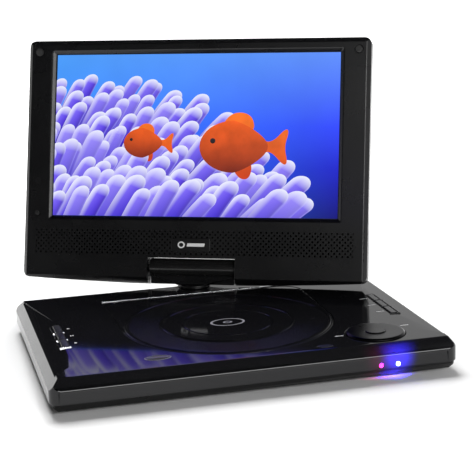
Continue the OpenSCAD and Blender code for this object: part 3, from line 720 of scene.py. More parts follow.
def bevelled(
    obj: bpy.types.Object, width_mm: float, segments: int = 2, angle: float = 30.0
) -> bpy.types.Object:
    """Rounds an object's edges.

    Args:
        obj: The object.
        width_mm: How wide the rounding is.
        segments: How many faces go round each edge.
        angle: Only edges sharper than this many degrees are rounded.

    Returns:
        The same object, with the rounding in its mesh.
    """
    bevel = obj.modifiers.new("rounded_edges", "BEVEL")
    bevel.width = width_mm * MM
    bevel.segments = segments
    bevel.limit_method = "ANGLE"
    bevel.angle_limit = math.radians(angle)
    bevel.use_clamp_overlap = False
    bevel.miter_outer = "MITER_ARC"
    return evened(applied(obj))


def copy_of_node(frame: Frame, node: str, name: str) -> bpy.types.Object:
    """Copies a CAD node with its loose triangles merged into whole faces.

    Args:
        frame: The frame.
        node: The node to copy.
        name: The copy's name.

    Returns:
        The copy, linked to the scene.
    """
    bm = bmesh.new()
    bm.from_mesh(frame.nodes[node].data)
    bmesh.ops.remove_doubles(bm, verts=bm.verts, dist=MERGE_M)
    bmesh.ops.dissolve_degenerate(bm, edges=bm.edges, dist=MERGE_M)
    bmesh.ops.dissolve_limit(
        bm, angle_limit=math.radians(FLAT_ANGLE), verts=bm.verts, edges=bm.edges
    )
    mesh = bpy.data.meshes.new(name)
    bm.to_mesh(mesh)
    bm.free()
    mesh.materials.clear()
    obj = bpy.data.objects.new(name, mesh)
    bpy.context.scene.collection.objects.link(obj)
    return obj


def carve(obj: bpy.types.Object, cutter: bpy.types.Object) -> None:
    """Cuts one object by another, which is then removed.

    Args:
        obj: The object that is cut.
        cutter: The object that cuts it.
    """
    boolean = obj.modifiers.new("cut", "BOOLEAN")
    boolean.operation = "DIFFERENCE"
    boolean.solver = "EXACT"
    boolean.object = cutter
    applied(obj)
    bpy.data.objects.remove(cutter)


def round_by_rule(obj: bpy.types.Object, rule: Callable[[Vector, Vector], float]) -> None:
    """Rounds each sharp edge by its own amount.

    Args:
        obj: The object.
        rule: Gives an edge's rounding in millimetres from its middle and its direction.
    """
    bm = bmesh.new()
    bm.from_mesh(obj.data)
    weights = bm.edges.layers.float.new("bevel_weight_edge")
    widest = 0.0
    for edge in bm.edges:
        if not edge.is_manifold or edge.calc_face_angle() < math.radians(SHARP_ANGLE):
            continue
        a, b = (v.co / MM for v in edge.verts)
        edge[weights] = rule((a + b) / 2, (b - a).normalized())
        widest = max(widest, edge[weights])
    for edge in bm.edges:
        edge[weights] /= widest
    bm.to_mesh(obj.data)
    bm.free()
    bevel = obj.modifiers.new("rounded_edges", "BEVEL")
    bevel.width = widest * MM
    bevel.segments = RULE_SEGMENTS
    bevel.limit_method = "WEIGHT"
    bevel.use_clamp_overlap = False
    bevel.miter_outer = "MITER_ARC"
    evened(applied(obj))


# ---------------------------------------------------------------- repeats


class Repeat(NodeGroup):
    """A geometry node tree that lays out a repeated shape, and the plain mesh it gives.

    Lengths inside the tree are millimetres, on a flat plane with Z towards the viewer. With an
    input for painted shade, faces deeper than hollow_mm get that material: a near-black that
    paints the shade in the hollows.
    """

    hollow_mm = 0.1

    def __init__(self, name: str, inputs: dict[str, object]) -> None:
        """Starts a tree.

        Args:
            name: The tree's and the finished object's name.
            inputs: The named inputs with their values.
        """
        super().__init__(name, "GeometryNodeTree", inputs, "Geometry", "NodeSocketGeometry")
        self.name = name

    def vector(self, x: object = 0.0, y: object = 0.0, z: object = 0.0) -> bpy.types.NodeSocket:
        """Puts three sockets or numbers together."""
        return self.add("ShaderNodeCombineXYZ", {0: x, 1: y, 2: z}).outputs[0]

    def square(self, value: bpy.types.NodeSocket) -> bpy.types.NodeSocket:
        """Multiplies a value by itself."""
        return self.sum("MULTIPLY", value, value)

    def reach(self, x: bpy.types.NodeSocket, y: bpy.types.NodeSocket) -> bpy.types.NodeSocket:
        """Gives the distance from two lengths at right angles."""
        return self.sum("SQRT", self.sum("ADD", self.square(x), self.square(y)))

    def moved(
        self, geometry: bpy.types.NodeSocket, offset: bpy.types.NodeSocket
    ) -> bpy.types.NodeSocket:
        """Moves the points of a geometry."""
        inputs = {"Geometry": geometry, "Offset": offset}
        return self.add("GeometryNodeSetPosition", inputs).outputs[0]

    def marked(
        self, geometry: bpy.types.NodeSocket, name: str, value: bpy.types.NodeSocket
    ) -> bpy.types.NodeSocket:
        """Stores a value on the points of a geometry."""
        inputs = {"Geometry": geometry, "Name": name, "Value": value}
        return self.add(
            "GeometryNodeStoreNamedAttribute", inputs, data_type="FLOAT", domain="POINT"
        ).outputs[0]

    def place(self) -> tuple[bpy.types.NodeSocket, bpy.types.NodeSocket]:
        """Gives the X and Y of each point."""
        parts = self.split(self.add("GeometryNodeInputPosition").outputs[0])
        return parts[0], parts[1]

    def random(self, low: float, high: float, stream: int) -> bpy.types.NodeSocket:
        """Gives each point its own number, always the same for one seed and stream."""
        seed = self.sum("ADD", self.named("Seed"), float(stream))
        made = self.add(
            "FunctionNodeRandomValue", {2: low, 3: high, "Seed": seed}, data_type="FLOAT"
        )
        return made.outputs[1]

    def lattice(self) -> bpy.types.NodeSocket:
        """Lays out staggered points by the inputs Columns, Rows, Pitch and Row pitch."""
        spans = []
        for count, pitch in (("Columns", "Pitch"), ("Rows", "Row pitch")):
            gaps = self.sum("SUBTRACT", self.named(count), 1.0)
            spans.append(self.sum("MULTIPLY", gaps, self.named(pitch)))
        grid = self.add(
            "GeometryNodeMeshGrid",
            {0: spans[0], 1: spans[1], 2: self.named("Columns"), 3: self.named("Rows")},
        )
        y = self.place()[1]
        row = self.sum("ROUND", self.sum("DIVIDE", y, self.named("Row pitch")))
        odd = self.sum("FLOORED_MODULO", row, 2.0)
        shift = self.sum("MULTIPLY", odd, self.sum("DIVIDE", self.named("Pitch"), 2.0))
        return self.moved(grid.outputs[0], self.vector(shift))

    def without(
        self, geometry: bpy.types.NodeSocket, selection: bpy.types.NodeSocket
    ) -> bpy.types.NodeSocket:
        """Takes out the points where a selection holds."""
        made = self.add(
            "GeometryNodeDeleteGeometry",
            {"Geometry": geometry, "Selection": selection},
            domain="POINT",
        )
        return made.outputs[0]

    def instances(
        self, points: bpy.types.NodeSocket, shape: bpy.types.NodeSocket, **inputs: object
    ) -> bpy.types.NodeSocket:
        """Puts a shape on every point; inputs may give Selection, Rotation and Scale."""
        made = self.add(
            "GeometryNodeInstanceOnPoints", {"Points": points, "Instance": shape, **inputs}
        )
        return made.outputs[0]

    def shape(self, label: str) -> bpy.types.NodeSocket:
        """Gives the mesh of an object that is a named input."""
        made = self.add("GeometryNodeObjectInfo", {"Object": self.named(label)})
        return made.outputs["Geometry"]

    def grow(self, geometry: bpy.types.NodeSocket) -> bpy.types.Object:
        """Ends the tree, runs it and keeps the result as a plain mesh in millimetres.

        Args:
            geometry: What the tree made.

        Returns:
            The object, linked to the scene, without its modifier.
        """
        real = self.add("GeometryNodeRealizeInstances", {0: geometry}).outputs[0]
        painted = self.add(
            "GeometryNodeSetMaterial", {"Geometry": real, "Material": self.named("Material")}
        )
        # Faces deeper than hollow_mm get the near-black material: painted shade in the hollows.
        if "Hollow material" in self.ids:
            height = self.split(self.add("GeometryNodeInputPosition").outputs[0])[2]
            deep = self.sum("LESS_THAN", height, -self.hollow_mm)
            painted = self.add("GeometryNodeSetMaterial", {
                "Geometry": painted.outputs[0], "Selection": deep,
                "Material": self.named("Hollow material"),
            })
        self.finish(painted.outputs[0])
        obj = bpy.data.objects.new(self.name, bpy.data.meshes.new(self.name))
        bpy.context.scene.collection.objects.link(obj)
        modifier = obj.modifiers.new(self.name, "NODES")
        modifier.node_group = self.tree
        for label, value in self.values.items():
            modifier[self.ids[label]] = value
        applied(obj)
        for value in self.values.values():
            if isinstance(value, bpy.types.Object):
                bpy.data.objects.remove(value)
        return obj


def remade(obj: bpy.types.Object, change: Callable[[bmesh.types.BMesh], None]) -> None:
    """Passes an object's mesh through a change."""
    bm = bmesh.new()
    bm.from_mesh(obj.data)
    change(bm)
    bm.to_mesh(obj.data)
    bm.free()


def cut_corners(
    points: list[Pair], rounds: int
) -> list[Pair]:
    """Rounds a closed outline by cutting its corners again and again."""
    for _ in range(rounds):
        softer = []
        for (ax, ay), (bx, by) in zip(points, points[1:] + points[:1]):
            softer.append((0.75 * ax + 0.25 * bx, 0.75 * ay + 0.25 * by))
            softer.append((0.25 * ax + 0.75 * bx, 0.25 * ay + 0.75 * by))
        points = softer
    return points


def upright() -> Matrix:
    """Gives the turn that stands a flat plane up: X stays, Y points up and Z to the front."""
    return Matrix(((1, 0, 0, 0), (0, 0, -1, 0), (0, 1, 0, 0), (0, 0, 0, 1)))


# ---------------------------------------------------------------- picture finishes


def water_light() -> bpy.types.Material:
    """The lit water behind the tentacles: pale above, dark low on the right."""
    shader = Shader("water_light")
    place = shader.split(shader.coordinates("UV"))
    drift = shader.effect(Effect.DRIFT, Base=(1.0, 1.0, 1.0), Amount=0.5, Scale=18.0)
    right = shader.ramp(place[1], (
        (0.0, (0.008, 0.008, 0.2)), (0.3, (0.015, 0.02, 0.6)), (0.55, (0.035, 0.07, 1.0)),
        (1.0, (0.125, 0.29, 1.0)),
    ))
    left = shader.ramp(place[1], (
        (0.0, (0.04, 0.2, 1.0)), (0.6, (0.05, 0.26, 1.0)), (1.0, (0.08, 0.36, 1.0)),
    ))
    across = shader.blend(place[0], left, right)
    return shader.lit(shader.blend(0.7, across, drift, "MULTIPLY"), 0.2)


def tentacle_light() -> bpy.types.Material:
    """A lit tentacle: pale rim and tip, violet body, darker root."""
    shader = Shader("tentacle_light")
    along = shader.attribute("along")
    body = shader.ramp(shader.attribute("across"), (
        (0.0, (0.9, 0.92, 1.0)), (0.17, (0.62, 0.6, 1.0)), (0.36, (0.2, 0.13, 0.95)),
        (0.7, (0.12, 0.065, 0.8)), (0.9, (0.08, 0.04, 0.55)), (1.0, (0.3, 0.28, 0.9)),
    ))
    pale = shader.blend(shader.attribute("patch"), body, (0.42, 0.36, 1.0))
    tip = shader.ramp(along, ((0.84, (0.0, 0.0, 0.0)), (1.0, (1.0, 1.0, 1.0))))
    root = shader.ramp(along, ((0.35, (0.3, 0.25, 0.7)), (0.85, (1.0, 1.0, 1.0))))
    tipped = shader.blend(tip, pale, (0.86, 0.88, 1.0))
    return shader.lit(shader.blend(1.0, tipped, root, "MULTIPLY"), 0.2)


def fish_light(name: str, bright: Colour, deep: Colour) -> bpy.types.Material:
    """A lit fish: bright along the back, deeper below and in drifting patches.

    Args:
        name: The material's name.
        bright: The colour above.
        deep: The colour below.

    Returns:
        The material.
    """
    shader = Shader(name)
    fall = shader.blend(shader.split(shader.coordinates("UV"))[1], deep, bright)
    drift = shader.effect(Effect.DRIFT, Base=(1.0, 1.0, 1.0), Amount=0.9, Scale=90.0)
    return shader.lit(shader.blend(0.8, fall, drift, "MULTIPLY"))


# ---------------------------------------------------------------- pieces


class Workshop:
    """Dresses pieces and fixes them to the frame."""

    def __init__(self, frame: Frame) -> None:
        """Makes the shared effects and finishes.

        Args:
            frame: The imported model.
        """
        self.frame = frame
        for make in EFFECT_MAKERS:
            make()
        self.finishes: dict[str, bpy.types.Material] = {f.name: f.build() for f in FINISHES}
        low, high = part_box("direction_ring")
        middle = (low + high) / 2
        self.finishes["spun_metal"] = spun_metal(tuple(middle))
        self.finishes["lamp_blue"] = lamp_lens("lamp_blue", (0.45, 0.8, 1.0), 2.2)
        self.finishes["lamp_red"] = lamp_lens("lamp_red", (1.0, 0.06, 0.35), 1.3)
        self.finishes["lens_glass"] = clear_glass("lens_glass", (0.7, 0.75, 1.0))

    def paint(self, obj: bpy.types.Object, finish: str) -> None:
        """Gives an object one finish."""
        obj.data.materials.clear()
        obj.data.materials.append(self.finishes[finish])

    def fit(
        self, obj: bpy.types.Object, body: str, finish: str | None = None,
        replaces: Sequence[str] = (),
    ) -> bpy.types.Object:
        """Dresses a piece and fixes it to its body.

        Args:
            obj: The piece, in place.
            body: The body it rides on.
            finish: Its finish, unless it has one already.
            replaces: CAD nodes that it stands for.

        Returns:
            The piece.
        """
        if finish:
            self.paint(obj, finish)
        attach(obj, body)
        if replaces:
            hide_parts(*replaces)
        LOG.info("%s rides on %s, %d faces", obj.name, body, len(obj.data.polygons))
        return obj

    def rounded(
        self, node: str, finish: str, width_mm: float, segments: int = 2, angle: float = 30.0
    ) -> bpy.types.Object:
        """Replaces a CAD node by a copy with rounded edges.

        Args:
            node: The CAD node.
            finish: The copy's finish.
            width_mm: How wide the rounding is.
            segments: How many faces go round each edge.
            angle: Only edges sharper than this are rounded.

        Returns:
            The copy, riding on the node's body.
        """
        copy = bevelled(copy_of_node(self.frame, node, f"{node}_body"), width_mm, segments, angle)
        return self.fit(
            copy, self.frame.body_of[node], finish, [node]
        )


@dataclass(frozen=True)
class Rounding:
    """A CAD node whose shape is right but for its edges."""

    node: str
    finish: str
    width_mm: float
    segments: int = 2
    angle: float = 30.0


ROUNDED_NODES: tuple[Rounding, ...] = (
    Rounding("battery_cover", "under_matte", 0.2),
    Rounding("rubber_feet", "rubber", 0.25),
    Rounding("casing_screws", "screw_zinc", 0.08),
    Rounding("hinge_trim", "bright_chrome", 0.1, 3),
    Rounding("headphone_jack", "jack_plastic", 0.15),
    Rounding("av_jack", "jack_plastic", 0.15),
    Rounding("dc_jack", "jack_plastic", 0.15),
    Rounding("power_switch", "key_satin", 0.12),
    Rounding("power_lamp", "lamp_blue", 0.3, 3),
    Rounding("charge_lamp", "lamp_red", 0.3, 3),
    Rounding("open_button", "key_satin", 0.25),
    Rounding("ok_button", "spun_metal", 0.25, 3),
    Rounding("swivel_nut", "screw_zinc", 0.2),
    Rounding("swivel_bush", "turned_brass", 0.15),
    Rounding("screen_bumpers", "rubber", 0.3, 3),
    Rounding("sensor_window", "jack_plastic", 0.1),
    Rounding("screen_screws", "screw_zinc", 0.08),
    Rounding("optical_sled", "drive_plastic", 0.2),
    Rounding("disc_turntable", "drive_plastic", 0.15),
    Rounding("disc_clips", "bright_chrome", 0.02),
    Rounding("spindle_rotor", "pressed_steel", 0.15),
    Rounding("lid_hinge_pins", "screw_zinc", 0.15),
    Rounding("latch_slider", "drive_plastic", 0.1),
    Rounding("battery_cells", "cell_wrap", 0.8, 3),
)

PLAIN_NODES: dict[str, str] = {
    "main_board": "solder_mask",
    "board_chips": "chip_epoxy",
    "switch_boards": "solder_mask",
    "dome_switches": "screw_zinc",
    "drive_chassis": "pressed_steel",
    "chassis_dampers": "rubber",
    "chassis_screws": "screw_zinc",
    "guide_rods": "bright_chrome",
    "sled_motor": "pressed_steel",
    "spindle_stator": "copper_wire",
    "objective_lens": "lens_glass",
    "lead_screw": "turned_brass",
    "lid_spring": "screw_zinc",
    "screen_board": "solder_mask",
    "speakers": "drive_plastic",
    "tilt_pins": "screw_zinc",
    "hinge_brackets": "pressed_steel",
}


@dataclass
class Base:
    """The base's two casings."""

    edge_mm: float = 0.35
    front_roll_mm: float = 2.0
    front_line_mm: float = 0.8
    part_line_mm: float = 11.5
    wing_edge_mm: float = 0.15
    lower_edge_mm: float = 0.5

    def build(self, shop: Workshop) -> None:
        """Makes both casings with their rounded edges."""
        low, high = (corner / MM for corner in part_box("upper_casing"))
        deck = high.z
        upper = copy_of_node(shop.frame, "upper_casing", "upper_casing_body")

        def upper_rule(middle: Vector, along: Vector) -> float:
            """The deck's front edge is a broad roll, the crease of a wing is crisp."""
            if middle.z > deck - 0.3 and middle.y < low.y + 6 and abs(along.x) > 0.9:
                return self.front_roll_mm
            if middle.y < low.y + 0.6 and abs(along.x) > 0.9 and middle.z > self.part_line_mm:
                return self.front_line_mm
            if abs(middle.x) > 100 and middle.z > deck - 1.3 and middle.y < 78:
                return self.wing_edge_mm
            return self.edge_mm

        round_by_rule(upper, upper_rule)
        shop.fit(upper, "base", "deck_gloss", ["upper_casing"])
        lower = copy_of_node(shop.frame, "lower_casing", "lower_casing_body")

        def lower_rule(middle: Vector, along: Vector) -> float:
            """Only the outer rim of the underside is rounded."""
            outer = abs(middle.x) > high.x - 9 or middle.y < low.y + 9 or middle.y > high.y - 9
            return self.lower_edge_mm if outer and middle.z < 1.0 else 0.0

        round_by_rule(lower, lower_rule)
        shop.fit(lower, "base", "side_satin", ["lower_casing"])


@dataclass
class Lid:
    """The disc lid with its textured band and its plain disc mark."""

    edge_mm: float = 0.4
    stud_mm: float = 1.5
    stud_high_mm: float = 0.05
    pitch_mm: float = 2.3
    band_mm: Pair = (43.0, 61.5)
    mark_radii_mm: tuple[float, ...] = (11.0, 9.6, 3.0, 1.8)

    def build(self, shop: Workshop) -> None:
        """Makes the lid, its studs and its mark."""
        shop.rounded("disc_lid", "lid_gloss", self.edge_mm, 3)
        self.add_studs(shop)
        self.add_mark(shop)

    def middle(self) -> Vector:
        """Gives the disc's axis on the lid's flat top, in millimetres."""
        low, high = (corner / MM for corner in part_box("disc_turntable"))
        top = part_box("upper_casing")[1].z / MM
        return Vector(((low.x + high.x) / 2, (low.y + high.y) / 2, top))

    def add_studs(self, shop: Workshop) -> None:
        """Lays diamond studs over a ring-shaped band."""
        half = self.stud_mm / 2
        draft = Draft()
        foot = [(half, 0, -0.03), (0, half, -0.03), (-half, 0, -0.03), (0, -half, -0.03)]
        flat = [(x * 0.35, y * 0.35, self.stud_high_mm) for x, y, _ in foot]
        draft.loft((foot, flat))
        stud = draft.finish("stud", Matrix.Scale(1 / MM, 4), 20.0)
        count = int(2 * self.band_mm[1] / self.pitch_mm) + 2
        repeat = Repeat("lid_studs", {
            "Columns": count, "Rows": 2 * count, "Pitch": self.pitch_mm,
            "Row pitch": self.pitch_mm / 2, "Inner radius": self.band_mm[0],
            "Outer radius": self.band_mm[1], "Stud": stud,
            "Material": shop.finishes["lid_gloss"],
        })
        points = repeat.lattice()
        x, y = repeat.place()
        reach = repeat.reach(x, y)
        outside = repeat.sum("GREATER_THAN", reach, repeat.named("Outer radius"))
        inside = repeat.sum("LESS_THAN", reach, repeat.named("Inner radius"))
        kept = repeat.without(points, repeat.sum("MAXIMUM", outside, inside))
        studs = repeat.grow(repeat.instances(kept, repeat.shape("Stud")))
        studs.data.transform(Matrix.Scale(MM, 4) @ Matrix.Translation(self.middle()))
        shop.fit(studs, "lid")

    def add_mark(self, shop: Workshop) -> None:
        """Prints a plain disc sign on the middle of the lid."""
        outer, rim, hub, hole = self.mark_radii_mm
        top = self.middle()
        draft = Draft()
        for far, near in ((outer, rim), (hub, hole)):
            profile = ((near, -0.02), (far, -0.02), (far, 0.04), (near, 0.04), (near, -0.02))
            draft.lathe(profile, 64)
        sign = draft.finish("disc_sign")
        sign.data.transform(Matrix.Translation(top * MM) @ Matrix.Diagonal((1, 0.7, 1, 1)))
        shop.fit(sign, "lid", "mark_grey")


class Sign(Enum):
    """Plain signs printed beside the keys."""

    PLAY = "play"
    STOP = "stop"
    PAUSE = "pause"
    BAR = "bar"


SIGN_SHAPES: dict[Sign, tuple[tuple[Pair, ...], ...]] = {
    Sign.PLAY: (((-1.0, -0.9), (1.1, 0.0), (-1.0, 0.9)),),
    Sign.STOP: (((-0.8, -0.8), (0.8, -0.8), (0.8, 0.8), (-0.8, 0.8)),),
    Sign.PAUSE: (
        ((-1.0, -0.9), (-0.35, -0.9), (-0.35, 0.9), (-1.0, 0.9)),
        ((0.35, -0.9), (1.0, -0.9), (1.0, 0.9), (0.35, 0.9)),
    ),
    Sign.BAR: (((-2.6, -0.35), (2.6, -0.35), (2.6, 0.35), (-2.6, 0.35)),),
}


@dataclass
class Controls:
    """Direction ring, side keys, their trims and signs."""

    key_edge_mm: float = 0.4
    ring_edge_mm: float = 0.3
    trim_mm: float = 0.5
    trim_out_mm: float = 0.55
    trim_past_mm: float = 0.5
    gap_half_mm: float = 0.17
    gap_behind_mm: float = 0.2
    gap_high_mm: float = 0.5
    ring_bars_mm: tuple[Pair, Pair] = ((-4.5, 1.0), (4.0, 9.0))
    sign_high_mm: float = 0.04
    sign_gap_mm: float = 3.6
    emblem_at: Pair = (-56.0, -70.0)
    emblem_mm: Pair = (8.0, 4.6)

    def build(self, shop: Workshop) -> None:
        """Makes the ring, the six keys and what surrounds them."""
        shop.rounded("direction_ring", "spun_metal", self.ring_edge_mm, 3)
        for side in ("left", "right"):
            for place in ("rear", "middle", "front"):
                shop.rounded(f"key_{side}_{place}", "key_satin", self.key_edge_mm, 3)
            self.add_trim(shop, side)
        self.add_signs(shop)
        self.add_emblem(shop)

    def add_trim(self, shop: Workshop, side: str) -> None:
        """Lines the outer side and gaps of a row of keys with a thin trim; the left one is bright
        chrome, a painted highlight for the gleam on the left keys' edges.
        """
        rear = [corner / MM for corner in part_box(f"key_{side}_rear")]
        front = [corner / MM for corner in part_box(f"key_{side}_front")]
        out = self.trim_out_mm
        outer = rear[0].x - out if side == "left" else rear[1].x + out
        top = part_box("upper_casing")[1].z / MM
        half, past, thin = self.trim_mm / 2, self.trim_past_mm, self.gap_half_mm
        foot = top - 1.0
        draft = Draft()
        draft.box((outer - half, front[0].y - past, foot), (outer + half, rear[1].y + past, top))
        inner = rear[1].x if side == "left" else rear[0].x
        for place in ("rear", "middle", "front"):
            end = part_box(f"key_{side}_{place}")[0].y / MM - self.gap_behind_mm
            draft.box(
                (min(outer, inner), end - thin, foot),
                (max(outer, inner), end + thin, top + self.gap_high_mm),
            )
        trim = bevelled(draft.finish(f"key_trim_{side}"), 0.12, 2)
        # Chrome on the left only: a painted highlight for the lit key edges on that side; the
        # right trim is dark like the keys.
        finish = "bright_chrome" if side == "left" else "key_satin"
        shop.fit(trim, "base", finish)

    def add_signs(self, shop: Workshop) -> None:
        """Prints a sign inward of each key and a bar by the direction ring."""
        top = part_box("upper_casing")[1].z / MM
        draft = Draft()
        spots: list[tuple[Sign, float, float]] = []
        signs = {"rear": Sign.PLAY, "middle": Sign.PAUSE, "front": Sign.STOP}
        for place, sign in signs.items():
            for side, turn in (("left", 1), ("right", -1)):
                low, high = (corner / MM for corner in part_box(f"key_{side}_{place}"))
                inner = high.x if turn > 0 else low.x
                shown = sign if turn > 0 else Sign.BAR
                spots.append((shown, inner + turn * self.sign_gap_mm, (low.y + high.y) / 2))
        low, high = (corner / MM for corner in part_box("direction_ring"))
        middle = (low.y + high.y) / 2
        for edge, (across, along) in zip((low.x, high.x), self.ring_bars_mm):
            spots.append((Sign.BAR, edge + across, middle + along))
        for sign, x, y in spots:
            for outline in SIGN_SHAPES[sign]:
                draft.loft([
                    [(x + a, y + b, top + z) for a, b in outline]
                    for z in (-0.02, self.sign_high_mm)
                ])
        shop.fit(draft.finish("key_signs"), "base", "mark_white")

    def add_emblem(self, shop: Workshop) -> None:
        """Sets a plain oval badge into the deck's front left."""
        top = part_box("upper_casing")[1].z / MM
        x, y = self.emblem_at
        wide, deep = self.emblem_mm
        draft = Draft()
        rings = ((1.0, -0.05), (1.0, 0.12), (0.93, 0.2), (0.86, 0.2), (0.82, 0.1))
        draft.loft([oval((x, y), (wide * r, deep * r), top + z, 48) for r, z in rings])
        shop.fit(draft.finish("oval_emblem"), "base", "badge_grey")


@dataclass
class Hinge:
    """The swivel column and its cover."""

    column_edge_mm: float = 0.6
    cover_edge_mm: float = 0.15

    def build(self, shop: Workshop) -> None:
        """Makes the column and the cover strip."""
        shop.rounded("swivel_column", "bezel_satin", self.column_edge_mm, 3)
        shop.rounded("hinge_cover", "hinge_gloss", self.cover_edge_mm, 2)


@dataclass
class Grille:
    """The perforated strip under the picture."""

    span_mm: Pair = (-111.0, 111.0)
    band_mm: Pair = (8.6, 25.4)
    pitch_mm: float = 3.7
    row_mm: float = 1.9
    dimple_mm: float = 0.74
    rim_mm: float = 0.1
    rim_drop_mm: float = 0.08
    closed_floor: float = 0.45
    open_floor: float = 0.95
    shallow_mm: float = 0.5
    deep_mm: float = 0.95
    lip_mm: float = 0.4
    body_mm: float = 1.6
    open_mm: float = 11.5
    speaker_at: Pair = (86.0, 16.2)

    def cell(self, name: str, depth: float, floor: float) -> bpy.types.Object:
        """Drafts one cell: a rectangle round an eight-sided cup.

        Args:
            name: The cell's name.
            depth: How deep its cup is.
            floor: The radius of the cup's floor.

        Returns:
            The cell, in millimetres, about its own middle.
        """
        draft = Draft()
        a, b = self.pitch_mm / 2, self.row_mm / 2
        edge = [(a, 0), (a, b), (0, b), (-a, b), (-a, 0), (-a, -b), (0, -b), (a, -b)]
        rings = [draft.ring((x, y, 0.0) for x, y in edge)]
        lip = self.dimple_mm + self.rim_mm
        for radius, height in ((lip, 0.0), (self.dimple_mm, -self.rim_drop_mm), (floor, -depth)):
            rings.append(draft.ring(oval((0, 0), (radius, radius), height, 8)))
        for outer, inner in zip(rings, rings[1:]):
            draft.bridge(outer, inner)
        draft.bm.faces.new(rings[-1])
        obj = draft.finish(name, Matrix.Scale(1 / MM, 4), 25.0)
        if sum(p.normal.z for p in obj.data.polygons) < 0:
            obj.data.flip_normals()
        return obj

    def build(self, shop: Workshop, place: Matrix, front_mm: float) -> None:
        """Makes the strip.

        Args:
            shop: The workshop.
            place: The screen's axes.
            front_mm: How far the bezel's front stands from the axes.
        """
        middle = (sum(self.span_mm) / 2, sum(self.band_mm) / 2)
        columns = int((self.span_mm[1] - self.span_mm[0]) / self.pitch_mm) + 3
        rows = 2 * math.ceil((self.band_mm[1] - self.band_mm[0]) / self.row_mm / 2) + 1
        repeat = Repeat("sound_grille", {
            "Columns": columns, "Rows": rows, "Pitch": self.pitch_mm, "Row pitch": self.row_mm,
            "Speaker place": self.speaker_at[0], "Open radius": self.open_mm,
            "Closed cell": self.cell(
                "closed_cell", self.shallow_mm, self.dimple_mm * self.closed_floor
            ),
            "Open cell": self.cell("open_cell", self.deep_mm, self.dimple_mm * self.open_floor),
            "Material": shop.finishes["bezel_satin"],
            # The cups' deeper faces take a near-black: painted shade in the hollows.
            "Hollow material": shop.finishes["hollow_black"],
        })
        points = repeat.lattice()
        x, y = repeat.place()
        side = repeat.sum("ABSOLUTE", x)
        from_speaker = repeat.sum("SUBTRACT", side, repeat.named("Speaker place"))
        reach = repeat.reach(from_speaker, y)
        near = repeat.sum("LESS_THAN", reach, repeat.named("Open radius"))
        far = repeat.sum("SUBTRACT", 1.0, near)
        join = repeat.add("GeometryNodeJoinGeometry")
        for shape, chosen in (("Closed cell", far), ("Open cell", near)):
            laid = repeat.instances(points, repeat.shape(shape), Selection=chosen)
            repeat.put(join.inputs[0], laid)
        strip = repeat.grow(join.outputs[0])
        remade(strip, self.close)
        lift = Matrix.Translation((middle[0], middle[1], front_mm - self.lip_mm))
        strip.data.transform(place @ Matrix.Scale(MM, 4) @ upright() @ lift)
        soften(strip, 25.0)
        shop.fit(strip, "screen")

    def close(self, bm: bmesh.types.BMesh) -> None:
        """Gives the strip its thickness behind the cups."""
        bmesh.ops.remove_doubles(bm, verts=bm.verts, dist=0.01)
        rim = [edge for edge in bm.edges if edge.is_boundary]
        made = bmesh.ops.extrude_edge_only(bm, edges=rim)["geom"]
        for vert in (v for v in made if isinstance(v, bmesh.types.BMVert)):
            vert.co.z = self.lip_mm - self.body_mm
        ends = [e for e in made if isinstance(e, bmesh.types.BMEdge) and e.is_boundary]
        bmesh.ops.holes_fill(bm, edges=ends, sides=0)
        bmesh.ops.recalc_face_normals(bm, faces=bm.faces)


